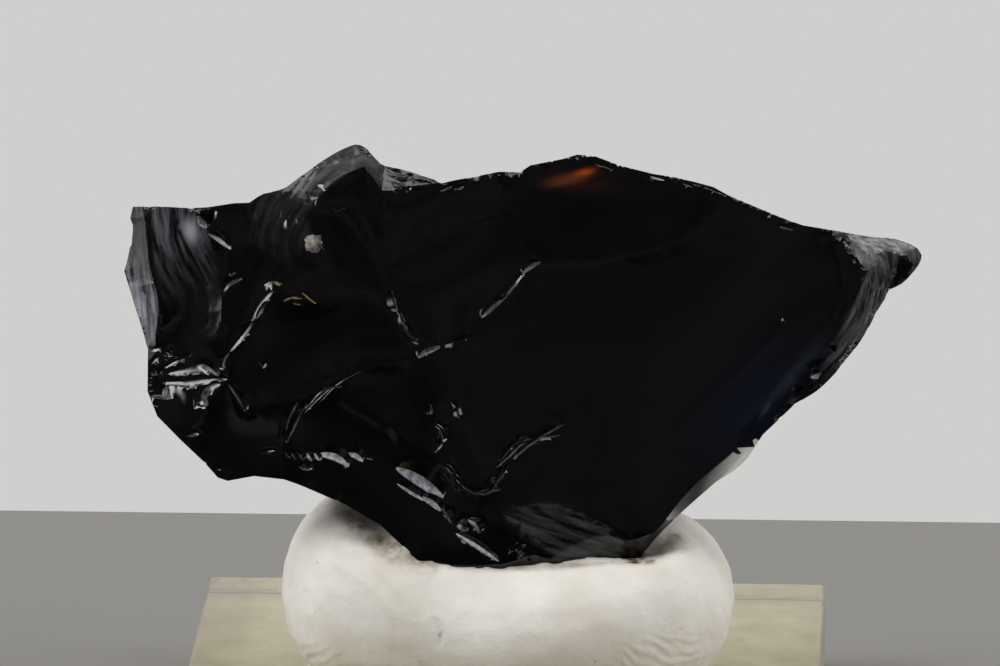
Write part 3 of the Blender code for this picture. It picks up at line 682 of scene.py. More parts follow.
def fold(stone, path, half_width, height):
    """Raise a rounded ridge along a path in the front of the skin, or press a furrow into it."""
    line = smooth_path(path, 0.3)
    reach = FOLD_REACH * half_width
    low = [min(p[i] for p in line) - reach for i in (0, 1)]
    high = [max(p[i] for p in line) + reach for i in (0, 1)]

    def near(spot):
        return (low[0] < spot.x < high[0] and low[1] < spot.y < high[1]
                and distance_to_path(spot.x, spot.y, line) < reach)

    coords = stone.data.vertices
    for _ in range(4):
        divide_faces(stone, lambda f: f.normal.z > 0.2 and near(f.center) and max(
            (coords[a].co - coords[b].co).length for a, b in f.edge_keys) > FOLD_MESH * half_width, 1)
        coords = stone.data.vertices
    normals = [vertex.normal.copy() for vertex in stone.data.vertices]
    for vertex, normal in zip(stone.data.vertices, normals):
        if normal.z > 0.2 and near(vertex.co):
            away = distance_to_path(vertex.co.x, vertex.co.y, line) / half_width
            ends = min((vertex.co.xy - line[0]).length, (vertex.co.xy - line[-1]).length) / half_width
            fade = smooth_step(0.35 * ends + 0.15)
            vertex.co += normal * height * fade * math.exp(-away * away)


def lay_painted_sheens(stone):
    """Note on the skin how strong the painted sheen is, and where each point lies on its streaks."""
    mesh = stone.data
    painted_sheen = mesh.attributes.new("painted_sheen", "FLOAT_VECTOR", "CORNER")
    noted = []
    for vertex in mesh.vertices:
        x, y, _ = vertex.co
        strongest = (0.0, 0.0, 0.0)
        if vertex.normal.z > 0:
            for outline, guide, strengths, softness, bare in PAINTED_SHEENS.values():
                if inside(x, y, outline):
                    across, gone, length = place_on_path(x, y, guide)
                    strength = along(strengths, gone / length)
                    strength *= smooth_step(distance_to_path(x, y, outline + outline[:1]) / softness)
                    for line in bare:
                        strength *= 1 - math.exp(-(distance_to_path(x, y, line) / BARE_LINE) ** 2)
                    strongest = max(strongest, (strength, across, STREAK_STRETCH * gone))
        noted.append(strongest)
    for loop in mesh.loops:
        painted_sheen.data[loop.index].vector = noted[loop.vertex_index]


def break_cutter(skin, path, width, look):
    """A narrow break with two flanks, like a notch, open to the front.

    Its lower flank starts at the skin, lies back to mirror the light above and takes the look. Its
    upper flank climbs slowly back to the skin, so that the light can reach the lower one.
    Returns points, faces and the look of each face.
    """
    stations = smooth_path(path, PATH_STEP)
    verts = []
    level = None
    uphill = Vector((-0.4, 1.0))
    for number, spot in enumerate(stations):
        ahead = stations[min(number + 1, len(stations) - 1)]
        behind = stations[max(number - 1, 0)]
        onward = (ahead - behind).normalized()
        normal = Vector((-onward.y, onward.x))
        if normal.dot(uphill) < 0:
            normal = -normal
        uphill = normal
        share = number / (len(stations) - 1)
        wide = width * max(NARROWEST, math.sin(math.pi * share) ** 0.6)
        low = spot - normal * 0.5 * wide
        base = depth_at(skin, low)
        if base is None:
            base = level if level is not None else depth_at(skin, spot) or 0.0
        if level is not None:
            base = level + max(-RIM_STEP, min(RIM_STEP, base - level))
        level = base
        slope = min(math.tan(math.radians(GLINT_TILT)) / max(0.3, normal.y), STEEPEST_SLOPE)
        deep = wide * slope
        climb = deep / RAMP_SLOPE
        high = depth_at(skin, low + normal * (wide + climb))
        while high is None and climb > 0.1:
            climb *= 0.6
            high = depth_at(skin, low + normal * (wide + climb))
        high = base if high is None else max(base - deep, min(base + deep, high))
        floor = []
        for step in range(FLANK_STEPS + 1):
            s = step / FLANK_STEPS
            sag = FLANK_SAG * wide * math.sin(math.pi * s)
            floor.append((*(low + normal * wide * s), base - deep * s - sag))
        for step in range(1, RAMP_STEPS + 1):
            s = step / RAMP_STEPS
            place = low + normal * (wide + climb * s)
            floor.append((*place, base - deep + (high + RAMP_RISE - base + deep) * s))
        lid = [(x, y, max(base, high) + LID_HEIGHT) for x, y, _ in reversed(floor)]
        verts += floor + lid
    ring = 2 * (FLANK_STEPS + RAMP_STEPS + 1)
    faces = []
    looks = []
    for row in range(len(stations) - 1):
        for a in range(ring):
            b = (a + 1) % ring
            faces.append((row * ring + a, row * ring + b, (row + 1) * ring + b, (row + 1) * ring + a))
            looks.append(look if a < FLANK_STEPS else "glass")
    faces.append(tuple(reversed(range(ring))))
    faces.append(tuple(range((len(stations) - 1) * ring, len(stations) * ring)))
    return verts, faces, looks + ["glass", "glass"]


def ball_cutter(ball, centre, radii, look, relief=0.0):
    """A copy of the template ball, stretched, and roughened if it has relief."""
    verts = []
    for point in ball.vertices:
        lump = 1 + relief * noise.noise(point.co * 2.9 + Vector(centre))
        verts.append([c + p * r * lump for c, p, r in zip(centre, point.co, radii)])
    return verts, [tuple(f.vertices) for f in ball.polygons], [look] * len(ball.polygons)


def template_ball(subdivisions):
    bpy.ops.object.select_all(action="DESELECT")
    bpy.ops.mesh.primitive_ico_sphere_add(subdivisions=subdivisions, radius=1.0)
    ball = bpy.context.object
    mesh = ball.data
    bpy.data.objects.remove(ball)
    return mesh


def nibble_cutters(skin, ball, draw):
    """Small hollow chips all along the named runs of the rim."""
    cutters = []
    for run, count, smallest, largest in NIBBLED_EDGES:
        stations = smooth_path(run, PATH_STEP)
        for _ in range(count):
            spot = stations[draw.randrange(len(stations))]
            inward = (Vector(STONE_MIDDLE) - spot).normalized()
            size = draw.uniform(smallest, largest)
            edge = spot + inward * NIBBLE_INSET
            depth = depth_at(skin, edge)
            if depth is None:
                continue
            centre = (*(edge - inward * 0.45 * size), depth + size * draw.uniform(0.45, 0.75))
            radii = (size * draw.uniform(0.9, 1.8), size * draw.uniform(0.7, 1.0), size)
            cutters.append(ball_cutter(ball, centre, radii, draw.choice(("glass", "fresh"))))
    return cutters


def crumble_cutters(skin, draw):
    """Many small breaks at odd angles over each patch of crumbled ground."""
    cutters = []
    for outline, count, smallest, largest in CRUMBLED:
        xs = [x for x, _ in outline]
        ys = [y for _, y in outline]
        made = 0
        while made < count:
            x, y = draw.uniform(min(xs), max(xs)), draw.uniform(min(ys), max(ys))
            if not inside(x, y, outline):
                continue
            made += 1
            turn = math.radians(draw.gauss(*CRUMB_TURN))
            length = draw.uniform(smallest, largest)
            half = Vector((math.cos(turn), math.sin(turn))) * length / 2
            bend = Vector((-half.y, half.x)) * draw.uniform(-0.3, 0.3)
            spot = Vector((x, y))
            path = [spot - half, spot + bend, spot + half]
            look = "fresh" if draw.random() < FRESH_CRUMBS else "glass"
            cutters.append(break_cutter(skin, path, length * draw.uniform(0.2, 0.4), look))
    return cutters


def bundle_cutters(skin, draw):
    """The strands of each bundle: each one starts and ends at its own place and strays sideways."""
    cutters = []
    for path, spread, count, width, look in BUNDLES:
        line = smooth_path(path, PATH_STEP)
        for _ in range(count):
            first = draw.randrange(len(line) // 2)
            last = min(len(line) - 1, first + max(3, round(len(line) * draw.uniform(0.3, 0.6))))
            strand = []
            for number in (first, (first + last) // 2, last):
                ahead = line[min(number + 1, len(line) - 1)] - line[max(number - 1, 0)]
                aside = Vector((-ahead.y, ahead.x)).normalized()
                strand.append(line[number] + aside * spread * draw.uniform(-1, 1))
            cutters.append(break_cutter(skin, strand, width * draw.uniform(0.6, 1.3), look))
    return cutters


def reach_of(cutter):
    """The box round a cutter, as its lowest and highest corners."""
    verts = cutter[0]
    return [min(v[i] for v in verts) for i in range(3)], [max(v[i] for v in verts) for i in range(3)]


def clear_of(a, b):
    return any(a[1][i] < b[0][i] or b[1][i] < a[0][i] for i in range(3))


def in_batches(cutters):
    """Groups of cutters that don't meet, so that each group can cut in one go."""
    batches = []
    for cutter in cutters:
        box = reach_of(cutter)
        for batch in batches:
            if all(clear_of(box, other) for _, other in batch):
                batch.append((cutter, box))
                break
        else:
            batches.append([(cutter, box)])
    return [[cutter for cutter, _ in batch] for batch in batches]


def cut(stone, cutters):
    for batch in in_batches(cutters):
        verts, faces, looks = [], [], []
        for cutter_verts, cutter_faces, face_looks in batch:
            first = len(verts)
            verts += cutter_verts
            faces += [[first + i for i in face] for face in cutter_faces]
            looks += [LOOKS.index(look) for look in face_looks]
        mesh = bpy.data.meshes.new("cutter")
        mesh.from_pydata(verts, [], faces)
        for material in stone.data.materials:
            mesh.materials.append(material)
        mesh.polygons.foreach_set("material_index", looks)
        cutter = bpy.data.objects.new("cutter", mesh)
        bpy.context.collection.objects.link(cutter)
        only(cutter)
        bpy.ops.object.mode_set(mode="EDIT")
        bpy.ops.mesh.select_all(action="SELECT")
        bpy.ops.mesh.normals_make_consistent(inside=False)
        bpy.ops.object.mode_set(mode="OBJECT")
        apply_modifier(stone, "BOOLEAN", operation="DIFFERENCE", solver="MANIFOLD", object=cutter)
        bpy.data.objects.remove(cutter)


def dress_regions(stone):
    """Give the matt patches of the skin their own look."""
    for face in stone.data.polygons:
        x, y, _ = face.center
        if face.material_index == LOOKS.index("glass"):
            for outline, look in MATT_REGIONS:
                if inside(x, y, outline):
                    face.material_index = LOOKS.index(look)


def keep_in_box(piece, box):
    """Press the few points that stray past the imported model's box back on to it."""
    low, high = box
    for vertex in piece.data.vertices:
        vertex.co = [max(a, min(b, c)) for a, b, c in zip(low, high, vertex.co)]


def make_stone():
    stone = copy_node("crystal", "stone")
    stone.data.transform(stone_frame().inverted())
    for material in stone_materials():
        stone.data.materials.append(material)
    smooth_skin(stone)
    for region in RIPPLES.values():
        ripple(stone, *region)
    for line in FOLDS:
        fold(stone, *line)
    dress_regions(stone)
    lay_painted_sheens(stone)
    skin = skin_of(stone)
    draw = random.Random(STONE_DRAW)
    cutters = [break_cutter(skin, path, width, look)
               for group in BREAKS.values() for path, width, look in group]
    cutters += crumble_cutters(skin, draw)
    cutters += nibble_cutters(skin, template_ball(2), draw)
    cutters += bundle_cutters(skin, draw)
    bruise_depth = depth_at(skin, BRUISE_PLACE)
    bruise = (*BRUISE_PLACE, bruise_depth + BRUISE_LIFT * BRUISE_RADIUS)
    radii = (BRUISE_RADIUS, BRUISE_RADIUS, BRUISE_FLATNESS * BRUISE_RADIUS)
    cutters.append(ball_cutter(template_ball(4), bruise, radii, "bruise", BRUISE_RELIEF))
    cut(stone, cutters)
    only(stone)
    bpy.ops.object.shade_smooth_by_angle(angle=math.radians(STONE_SMOOTH_ANGLE))
    stone.data.transform(stone_frame())
    keep_in_box(stone, CAD_BOX)
    stone.data.update()
    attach(stone, "root")
    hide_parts("crystal")
    return stone


# Stone: looks ----------------------------------------------------------------------------------

def new_material(name):
    material = bpy.data.materials.new(name)
    material.use_nodes = True
    return material, material.node_tree, material.node_tree.nodes["Principled BSDF"]


def stone_coordinates(tree):
    """Object coordinates turned into the stone's own frame, in millimetres."""
    place, turn, scale = stone_frame().inverted().decompose()
    where = add_node(tree, "ShaderNodeTexCoord")
    turned = add_node(tree, "ShaderNodeMapping", {"Vector": where.outputs["Object"]},
                      sockets={"Location": place, "Rotation": turn.to_euler(), "Scale": scale})
    return turned.outputs[0]


def coordinates_in_mm(tree):
    where = add_node(tree, "ShaderNodeTexCoord")
    scaled = add_node(tree, "ShaderNodeMapping", {"Vector": where.outputs["Object"]},
                      sockets={"Scale": (1 / MM, 1 / MM, 1 / MM)})
    return scaled.outputs[0]


def patch(tree, where, centre, radii, turn=0.0, core=0.3):
    """1 in the core of an ellipsoid of millimetres, fading smoothly to 0 at its edge."""
    centred = add_node(tree, "ShaderNodeMapping", {"Vector": where}, vector_type="TEXTURE",
                       sockets={"Location": centre, "Rotation": (0, 0, math.radians(turn)),
                                "Scale": radii})
    length = add_node(tree, "ShaderNodeVectorMath", {0: centred.outputs[0]}, operation="LENGTH")
    fade = add_node(tree, "ShaderNodeMapRange", {"Value": length.outputs["Value"]},
                    interpolation_type="SMOOTHSTEP",
                    sockets={"From Min": 1.0, "From Max": core, "To Min": 0.0, "To Max": 1.0})
    return fade.outputs[0]


def noise_of(tree, where, size, detail=2.0, roughness=0.5):
    """A noise whose lumps are about `size` millimetres across."""
    made = add_node(tree, "ShaderNodeTexNoise", {"Vector": where},
                    sockets={"Scale": 0.5 / size, "Detail": detail, "Roughness": roughness})
    return made.outputs[0]


def remap(tree, value, low, high, to_low=0.0, to_high=1.0):
    made = add_node(tree, "ShaderNodeMapRange", {"Value": value},
                    sockets={"From Min": low, "From Max": high, "To Min": to_low, "To Max": to_high})
    return made.outputs[0]


def blend(tree, share, first, second):
    """Mix of two colours; each is a socket or a hex colour."""
    node = add_node(tree, "ShaderNodeMix", data_type="RGBA")
    tree.links.new(share, node.inputs[0])
    for socket, colour in ((6, first), (7, second)):
        if isinstance(colour, str):
            node.inputs[socket].default_value = linear(colour)
        else:
            tree.links.new(colour, node.inputs[socket])
    return node.outputs[2]


def times(tree, first, second):
    node = add_node(tree, "ShaderNodeMath", {0: first}, operation="MULTIPLY")
    if isinstance(second, float):
        node.inputs[1].default_value = second
    else:
        tree.links.new(second, node.inputs[1])
    return node.outputs[0]


def add_bump(tree, shader, height, strength, distance):
    """Relief of the finest kind: `distance` in millimetres for a height of 1."""
    bump = add_node(tree, "ShaderNodeBump", {"Height": height},
                    sockets={"Strength": strength, "Distance": distance * MM})
    tree.links.new(bump.outputs[0], shader.inputs["Normal"])


# Veiled patches of the glass: place and size in millimetres, turn, core, and how much they veil.
# The first is a navy tint by the right border, the second a painted reflection on the hollow
# scar, and the last two a painted glow round and in the amber at the thin top edge.
VEILS_AND_PAINTED_GLOWS = [
    ((38.0, 9.8, 2.0), (9.5, 4.4, 6.0), 48, 0.0, 0.24),
    ((4.05, 20.4, 5.0), (0.8, 1.3, 4.0), 10, 0.0, 0.75),
    ((27.6, 23.3, 4.0), (4.0, 1.0, 5.0), -4, 0.0, 0.2),
    ((28.0, 24.0, 4.0), (1.1, 0.4, 5.0), 12, 0.0, 0.3),
]
GLASS_IOR = 1.49
GLASS_CLEARNESS = 0.94
GLASS_TINT = (0.781, 0.4375, 0.0, 1)
GLASS_DENSITY = 16000.0


def volcanic_glass():
    """Volcanic glass as it broke: a wet gloss, and black in bulk.

    The navy patch by the right border and the olive one left of the middle are tints laid by place.
    The amber at the thin top edge, with its red-brown fringe, is a painted glow of light through
    that edge, laid over the glass's own amber absorption. The pale patch on the hollow scar is a
    painted reflection, and the grey streaks are painted sheen.
    """
    material, tree, shader = new_material("volcanic glass, freshly broken")
    where = stone_coordinates(tree)
    colour = "#0b0b0d"
    # Tints by place; the last three are the painted glow round and in the amber at the thin top edge.
    tints_and_painted_glows = [
        ("#161e38", *VEILS_AND_PAINTED_GLOWS[0][:4]),
        ("#3a4658", (40.6, 11.6, 2.5), (4.6, 0.55, 5.0), 50, 0.0),
        ("#17170a", (11.8, 14.2, 6.0), (4.4, 2.6, 4.0), -12, 0.2),
        ("#1d1412", (48.0, 18.7, 0.0), (1.2, 1.4, 3.0), 0, 0.4),
        ("#4a1a14", *VEILS_AND_PAINTED_GLOWS[2][:4]),
        ("#a8602c", (27.0, 23.6, 3.0), (2.5, 0.6, 4.0), 14, 0.0),
        ("#e0641c", *VEILS_AND_PAINTED_GLOWS[3][:4]),
    ]
    for tint, centre, radii, turn, core in tints_and_painted_glows:
        colour = blend(tree, patch(tree, where, centre, radii, turn, core), colour, tint)
    # The painted sheen: fine grey streaks that follow the fracture, laid in place of reflections.
    painted_sheen = add_node(tree, "ShaderNodeAttribute", attribute_name="painted_sheen")
    parts = add_node(tree, "ShaderNodeSeparateXYZ", {0: painted_sheen.outputs["Vector"]})
    flow = add_node(tree, "ShaderNodeCombineXYZ", {0: parts.outputs["Y"], 1: parts.outputs["Z"]})
    streaks = noise_of(tree, flow.outputs[0], 0.2, detail=3.0, roughness=0.6)
    grey = blend(tree, remap(tree, streaks, 0.4, 0.64), "#08080a", "#8e8e98")
    colour = blend(tree, parts.outputs["X"], colour, grey)
    # Painted reflection: a pale patch on the hollow scar.
    colour = blend(tree, patch(tree, where, *VEILS_AND_PAINTED_GLOWS[1][:4]), colour, "#b4b4be")
    tree.links.new(colour, shader.inputs["Base Color"])
    smear = noise_of(tree, where, 1.6, detail=3.0)
    gloss = add_node(tree, "ShaderNodeMath", {0: remap(tree, smear, 0.35, 0.75, 0.03, 0.11),
                                              1: times(tree, parts.outputs["X"], 0.25)}, operation="ADD")
    tree.links.new(gloss.outputs[0], shader.inputs["Roughness"])
    add_bump(tree, shader, noise_of(tree, where, 1.3, detail=1.0), 0.5, 0.02)
    shader.inputs["IOR"].default_value = GLASS_IOR
    # The patches veil the glass, and so give back a little light of their own tint: on the hollow
    # scar a painted reflection, at the thin top edge a painted amber glow.
    clear = GLASS_CLEARNESS
    for centre, radii, turn, core, share in VEILS_AND_PAINTED_GLOWS:
        veiled_share = times(tree, patch(tree, where, centre, radii, turn, core), share)
        node = add_node(tree, "ShaderNodeMath", {1: veiled_share}, operation="SUBTRACT")
        if isinstance(clear, float):
            node.inputs[0].default_value = clear
        else:
            tree.links.new(clear, node.inputs[0])
        clear = node.outputs[0]
    clear = times(tree, clear, remap(tree, parts.outputs["X"], 0.0, 1.0, 1.0, 0.0))
    tree.links.new(clear, shader.inputs["Transmission Weight"])
    absorb = add_node(tree, "ShaderNodeVolumeAbsorption",
                      sockets={"Color": GLASS_TINT, "Density": GLASS_DENSITY})
    tree.links.new(absorb.outputs[0], tree.nodes["Material Output"].inputs["Volume"])
    return material


def broken_glass(name, dark, light, grain, roughness, relief=0.0, streaks=None, pale_place=None):
    """An opaque break: fine crushing turns the black glass to a mottled or streaked pale finish.
    On the fresh and bright breaks that pale tone is also a painted glint, standing in for the
    light that their ledges would mirror.

    `streaks` is the way that they run, in degrees from across. Away from `pale_place`, a centre,
    radii and turn, the finish darkens to its dark tone.
    """
    material, tree, shader = new_material(name)
    where = stone_coordinates(tree)
    ground = where
    if streaks is not None:
        turned = add_node(tree, "ShaderNodeMapping", {"Vector": where}, vector_type="TEXTURE",
                          sockets={"Rotation": (0, 0, math.radians(streaks)), "Scale": (7.0, 1.0, 1.0)})
        where = turned.outputs[0]
    mottle = noise_of(tree, where, grain, detail=3.0, roughness=0.6)
    share = remap(tree, mottle, 0.35, 0.65)
    if pale_place:
        share = times(tree, remap(tree, share, 0.0, 1.0, 0.6, 1.0), patch(tree, ground, *pale_place))
    tree.links.new(blend(tree, share, dark, light), shader.inputs["Base Color"])
    shader.inputs["Roughness"].default_value = roughness
    shader.inputs["IOR"].default_value = GLASS_IOR
    if relief:
        add_bump(tree, shader, mottle, 0.6, relief)
    return material


def stone_materials():
    """One material for each of LOOKS, in that order."""
    return [
        volcanic_glass(),
        # Fresh and bright breaks: crushed glass, with painted glints and highlights where the ledges would
        # mirror the light.
        broken_glass("volcanic glass, fresh chip with painted glint", "#151518", "#4e4e54", 0.16, 0.2),
        broken_glass("volcanic glass, crushed ledge with painted highlight", "#5c5c62", "#a4a4ac", 0.16, 0.25),
        broken_glass("volcanic glass, iron stained chip", "#2a1e05", "#80601a", 0.14, 0.25),
        broken_glass("volcanic glass, brown flake scar", "#120e0c", "#362d27", 0.18, 0.3),
        # Crushed white bruise, paler up and to the left of its middle: painted light on the side facing the
        # lamps, painted shade on the rest.
        broken_glass("volcanic glass, crushed white bruise", "#2c2723", "#c2bbb3", 0.14, 0.6, 0.1,
                     pale_place=((11.25, 20.0, 5.0), (0.95, 0.95, 6.0), 0, 0.2)),
        broken_glass("volcanic glass, matt fracture along the tip", "#343436", "#9c9c9e", 0.1, 0.35,
                     0.03, streaks=-12),
        # A darker copy of the matt fracture along the tip, for the faces under it: painted shade.
        broken_glass("volcanic glass, matt fracture under the tip, painted shade", "#0c0c0e", "#46464a", 0.1, 0.35,
                     0.03, streaks=98),
        broken_glass("volcanic glass, thin pale lip", "#2c2b2a", "#e2e0dd", 0.25, 0.25,
                     streaks=45, pale_place=((38.0, 6.7, 2.0), (4.6, 1.6, 6.0), 44, 0.2)),
        broken_glass("volcanic glass, faint hackles", "#0e0e10", "#323236", 0.14, 0.25),
    ]


# Mount -----------------------------------------------------------------------------------------

# Creases pressed into the putty's front: points (x, z) in millimetres, width and depth.
PUTTY_CREASES = [
    ([(-9.6, 14.0), (-8.2, 13.6), (-6.9, 12.7), (-5.9, 11.6)], 0.35, 0.09),
    ([(-3.7, 10.8), (-3.3, 10.2), (-3.4, 9.3)], 0.16, 0.16),
    ([(-11.6, 11.4), (-11.4, 10.6)], 0.2, 0.1),
    ([(-4.6, 8.2), (-3.6, 7.4), (-3.3, 6.4)], 0.18, 0.12),
]
# Finger marks on it: the middle of the mark (x, z), its half widths, the middle of its rings, and
# how deeply it shows.
FINGER_MARKS = [
    ((9.9, 8.3), (2.9, 1.7), (12.2, 13.4), 1.0),
    ((7.6, 6.9), (3.0, 1.6), (12.2, 13.4), 1.0),
    ((-10.6, 7.6), (2.0, 1.2), (-6.6, 3.2), 0.4),
    ((-1.5, 6.2), (2.4, 0.9), (-1.0, 1.0), 0.4),
]
# Millimetres from one pressed-in finger ridge to the next.
FINGER_RIDGE_SPACING = 0.62
FINGER_RIDGE_HEIGHT = 0.055
PUTTY_VOXEL = 0.26
LIP_CLOSES_FROM = 0.95
LIP_CLOSED_AT = 0.5
LIP_OVERLAP = 0.06
# How far the putty's front lip was pushed up against the stone, along X, and how far back that goes.
LIP_PUSHED = [(-6.2, 0.0), (-4.0, 0.62), (-2.2, 0.68), (0.2, 0.6), (2.6, 0.3), (5.0, -0.05), (7.5, -0.62),
              (9.4, -0.8), (11.0, -0.3), (12.5, 0.0)]
LIP_PUSH_REACH = 2.6
LIP_FRONT = -2.0
# Grime on the putty round the stone's foot, with painted shade that darkens it nearer the stone:
# a path in the stone's frame, its reach and strength.
GRIME_AND_SHADE = [
    ([(12.2, 4.6), (13.3, 3.4), (15.1, 2.0), (16.8, 1.1), (18.4, 0.6)], 1.5, 1.0),
    ([(18.4, 0.55), (21.0, 0.15), (25.0, 0.1), (29.0, 0.3), (31.0, 0.4)], 0.32, 0.8),
    ([(30.9, 0.6), (32.3, 1.3), (33.9, 2.2), (35.2, 2.2)], 1.3, 0.85),
    ([(30.3, 0.75), (30.6, 0.65)], 0.4, 2.0),
    ([(30.85, 0.45), (31.1, 0.4)], 0.34, 2.0),
    ([(31.35, 0.62), (31.5, 0.7)], 0.3, 1.9),
    ([(31.75, 0.35), (32.1, 0.4)], 0.34, 1.8),
    ([(13.0, 3.3), (13.9, 2.5)], 0.4, 1.3),
    ([(15.6, 1.6), (16.4, 1.2)], 0.34, 1.3),
]
# Specks of dirt pressed into the putty: colour, place in millimetres, and radius.
PUTTY_SPECKS = [
    ("#a08428", (11.1, -9.3, 9.8), 0.16),
    ("#5b5148", (13.6, -5.5, 9.9), 0.16),
    ("#6b6056", (-3.4, -10.3, 9.9), 0.1),
    ("#8a7d70", (-11.0, -7.6, 13.2), 0.12),
    ("#5b5148", (6.0, -10.2, 8.3), 0.08),
]
PUTTY_SMOOTHINGS = 16
# How far from the stone the grime and painted shade fade out.
GRIME_AND_SHADE_LIMIT = 2.4


def in_finger_mark(x, z):
    """How strongly a point of the putty's front is marked, from 0 to 1, and by which mark."""
    best, rings = 0.0, None
    for (cx, cz), (rx, rz), middle, depth in FINGER_MARKS:
        share = depth * smooth_step(2.2 * (1 - math.hypot((x - cx) / rx, (z - cz) / rz)))
        if share > best:
            best, rings = share, middle
    return best, rings


def shape_putty(putty, stone_skin):
    """Lumps, creases and finger marks, and a lip that closes on to the stone."""
    grime_and_shade_mask = putty.data.attributes.new("grime_and_shade_mask", "FLOAT", "POINT")
    to_stone = stone_frame().inverted()
    moved = []
    for vertex in putty.data.vertices:
        spot, normal = vertex.co.copy(), vertex.normal.copy()
        lump = 0.12 * noise.noise(spot / 5.0) + 0.06 * noise.noise(spot / 1.9)
        lump += 0.022 * noise.noise(spot / 0.7)
        if normal.y < 0.2:
            for path, width, depth in PUTTY_CREASES:
                near = distance_to_path(spot.x, spot.z, path) / width
                lump -= depth * math.exp(-near * near) - 0.4 * depth * math.exp(-(near - 1.6) ** 2)
            mark, rings = in_finger_mark(spot.x, spot.z)
            if mark > 0:
                ring = math.hypot(spot.x - rings[0], spot.z - rings[1]) / FINGER_RIDGE_SPACING
                ring += 0.5 * noise.noise(spot / 1.4)
                broken = smooth_step(1.2 + 2.2 * noise.noise(spot / 0.8))
                lump += FINGER_RIDGE_HEIGHT * mark * broken * math.sin(2 * math.pi * ring)
        hit, out, _, gap = stone_skin.find_nearest(spot)
        spot += normal * lump * smooth_step((gap - 0.3) / 1.2)
        if spot.y < LIP_FRONT:
            spot.z += along(LIP_PUSHED, spot.x) * smooth_step(1 - gap / LIP_PUSH_REACH)
            hit, out, _, gap = stone_skin.find_nearest(spot)
        close = smooth_step((LIP_CLOSES_FROM - gap) / (LIP_CLOSES_FROM - LIP_CLOSED_AT))
        spot = spot.lerp(hit - out * LIP_OVERLAP, close)
        moved.append(spot)
        x, y, _ = to_stone @ (spot * MM)
        # Grime and painted shade: darker the nearer the putty lies to the stone, along the contact.
        near = smooth_step((GRIME_AND_SHADE_LIMIT - gap) / 1.2)
        grime_and_shade_mask.data[vertex.index].value = near * max(
            strength * smooth_step(1 - distance_to_path(x, y, line) / reach)
            for line, reach, strength in GRIME_AND_SHADE)
    for vertex, spot in zip(putty.data.vertices, moved):
        vertex.co = spot


def mineral_putty():
    """White mounting putty pressed on by hand: dull and warm, with grime and painted shade where the stone
    sits.
    """
    material, tree, shader = new_material("mineral putty, pressed by hand")
    where = coordinates_in_mm(tree)
    mottle = remap(tree, noise_of(tree, where, 2.2, detail=3.0), 0.35, 0.65)
    colour = blend(tree, mottle, COLOURS["putty"], "#dfd9ce")
    speckle = remap(tree, noise_of(tree, where, 0.5, detail=4.0, roughness=0.7), 0.35, 0.62, 0.35, 1.0)
    grime_and_shade_mask = add_node(tree, "ShaderNodeAttribute", attribute_name="grime_and_shade_mask")
    grime_and_shade_amount = times(tree, grime_and_shade_mask.outputs["Fac"], speckle)
    colour = blend(tree, grime_and_shade_amount, colour, COLOURS["putty grime and shade"])
    # Darkest along the contact and at the dark crumbs: painted shade, and crumbs of dirt.
    colour = blend(tree, remap(tree, grime_and_shade_amount, 0.9, 1.5), colour, "#2a2420")
    for tint, centre, radius in PUTTY_SPECKS:
        spot = patch(tree, where, centre, (1.6 * radius, 2.5, radius), 0, 0.3)
        colour = blend(tree, times(tree, spot, speckle), colour, tint)
    tree.links.new(colour, shader.inputs["Base Color"])
    shader.inputs["Roughness"].default_value = 0.72
    shader.inputs["Specular IOR Level"].default_value = 0.3
    # The real grains are far too fine to show, so the relief is pits and lumps of 0.55 mm and less.
    add_bump(tree, shader, noise_of(tree, where, 0.55, detail=5.0, roughness=0.66), 0.7, 0.16)
    return material


def make_putty(stone):
    putty = copy_node("putty_pad", "putty")
    putty.data.transform(Matrix.Scale(1 / MM, 4))
    apply_modifier(putty, "REMESH", mode="VOXEL", voxel_size=PUTTY_VOXEL)
    apply_modifier(putty, "SMOOTH", factor=0.5, iterations=PUTTY_SMOOTHINGS)
    divide_faces(putty, lambda f: f.normal.y < 0.1 and in_finger_mark(f.center.x, f.center.z)[0] > 0, 1)
    mesh = stone.data
    skin = BVHTree.FromPolygons([v.co / MM for v in mesh.vertices], [f.vertices for f in mesh.polygons])
    shape_putty(putty, skin)
    only(putty)
    bpy.ops.object.shade_smooth()
    putty.data.transform(Matrix.Scale(MM, 4))
    putty.data.materials.append(mineral_putty())
    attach(putty, "root")
    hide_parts("putty_pad")
    return putty


BASE_BEVEL = 0.3 * MM
BASE_SMOOTH_ANGLE = 35
ACRYLIC_IOR = 1.49
ACRYLIC_TINT = (0.985, 0.97, 0.6, 1)
ACRYLIC_DENSITY = 50.0


def clear_acrylic(name, tint, smoothest, roughest, clear):
    """Clear acrylic sheet gone a little yellow: scuffed on top, duller where it was sawn."""
    material, tree, shader = new_material(name)
    where = coordinates_in_mm(tree)
    shader.inputs["Base Color"].default_value = linear(tint)
    scuff = noise_of(tree, where, 0.3, detail=4.0, roughness=0.7)
    tree.links.new(remap(tree, scuff, 0.45, 0.75, smoothest, roughest), shader.inputs["Roughness"])
    shader.inputs["IOR"].default_value = ACRYLIC_IOR
    shader.inputs["Transmission Weight"].default_value = clear
    add_bump(tree, shader, scuff, 0.25, 0.006)
    absorb = add_node(tree, "ShaderNodeVolumeAbsorption",
                      sockets={"Color": ACRYLIC_TINT, "Density": ACRYLIC_DENSITY})
    tree.links.new(absorb.outputs[0], tree.nodes["Material Output"].inputs["Volume"])
    return material


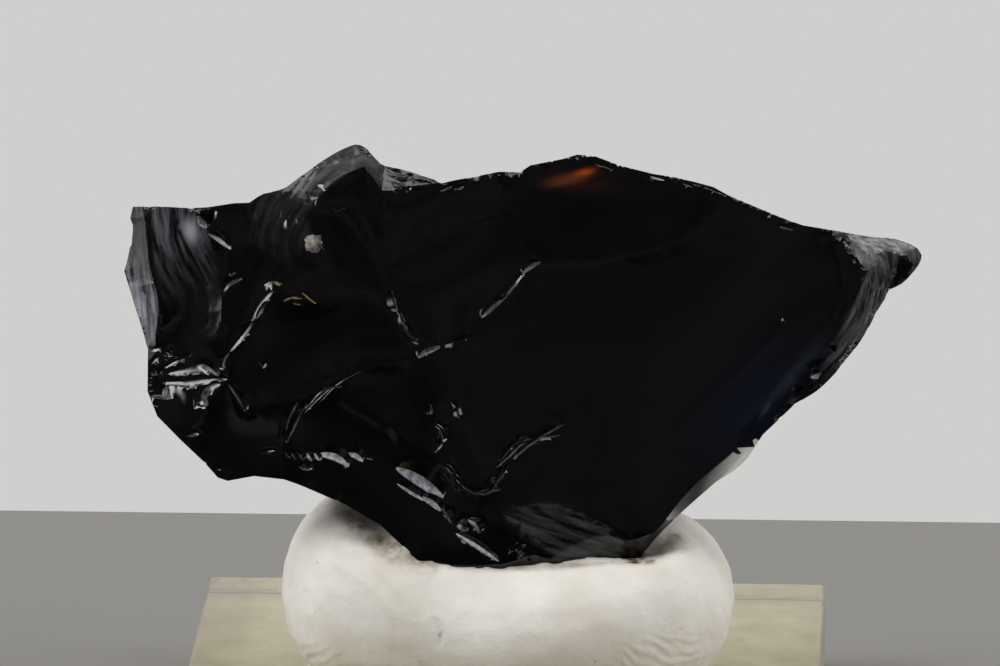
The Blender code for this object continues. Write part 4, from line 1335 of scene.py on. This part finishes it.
def pale_underside_with_painted_light(name, pale, dull):
    """A dull, mottled, opaque pale finish for the sheet's underside and lower edge. The underside is
    made pale as painted light, standing in for the light that comes through the clear sheet; the
    white lower edge is a painted highlight.
    """
    material, tree, shader = new_material(name)
    where = coordinates_in_mm(tree)
    cloud = remap(tree, noise_of(tree, where, 2.0, detail=6.0, roughness=0.66), 0.35, 0.65)
    tree.links.new(blend(tree, cloud, pale, dull), shader.inputs["Base Color"])
    shader.inputs["Roughness"].default_value = 0.8
    return material


def make_base():
    low, high = (Vector(corner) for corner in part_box("acrylic_base"))
    bpy.ops.object.select_all(action="DESELECT")
    bpy.ops.mesh.primitive_cube_add(size=1.0)
    base = bpy.context.object
    base.name = "clear_base"
    size = high - low
    base.data.transform(Matrix.Translation((low + high) / 2) @ Matrix.Diagonal((*size, 1.0)))
    base.data.materials.append(clear_acrylic("acrylic sheet, polished face", "#fbf9ee", 0.02, 0.16, 0.97))
    base.data.materials.append(clear_acrylic("acrylic sheet, sawn edge", "#f8dda6", 0.1, 0.3, 0.86))
    # The underside is painted pale for the light through the sheet, and the lower bevel white as a painted
    # highlight.
    base.data.materials.append(pale_underside_with_painted_light("acrylic sheet, underside painted pale", "#faf3e9", "#ddd5c6"))
    base.data.materials.append(pale_underside_with_painted_light("acrylic sheet, lower edge with painted highlight", "#ffffff", "#fbf8f0"))
    for face in base.data.polygons:
        face.material_index = 2 if face.normal.z < -0.9 else 1 if abs(face.normal.z) < 0.1 else 0
    bpy.ops.object.mode_set(mode="EDIT")
    bpy.ops.mesh.select_all(action="SELECT")
    bpy.ops.mesh.bevel(offset=BASE_BEVEL, segments=3, affect="EDGES", material=0)
    bpy.ops.object.mode_set(mode="OBJECT")
    # The lower bevel: a white painted highlight.
    for face in base.data.polygons:
        if -0.95 < face.normal.z < -0.2:
            face.material_index = 3
    bpy.ops.object.shade_smooth_by_angle(angle=math.radians(BASE_SMOOTH_ANGLE))
    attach(base, "root")
    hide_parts("acrylic_base")
    return base


add_camera()
add_stage()
make_putty(make_stone())
make_base()
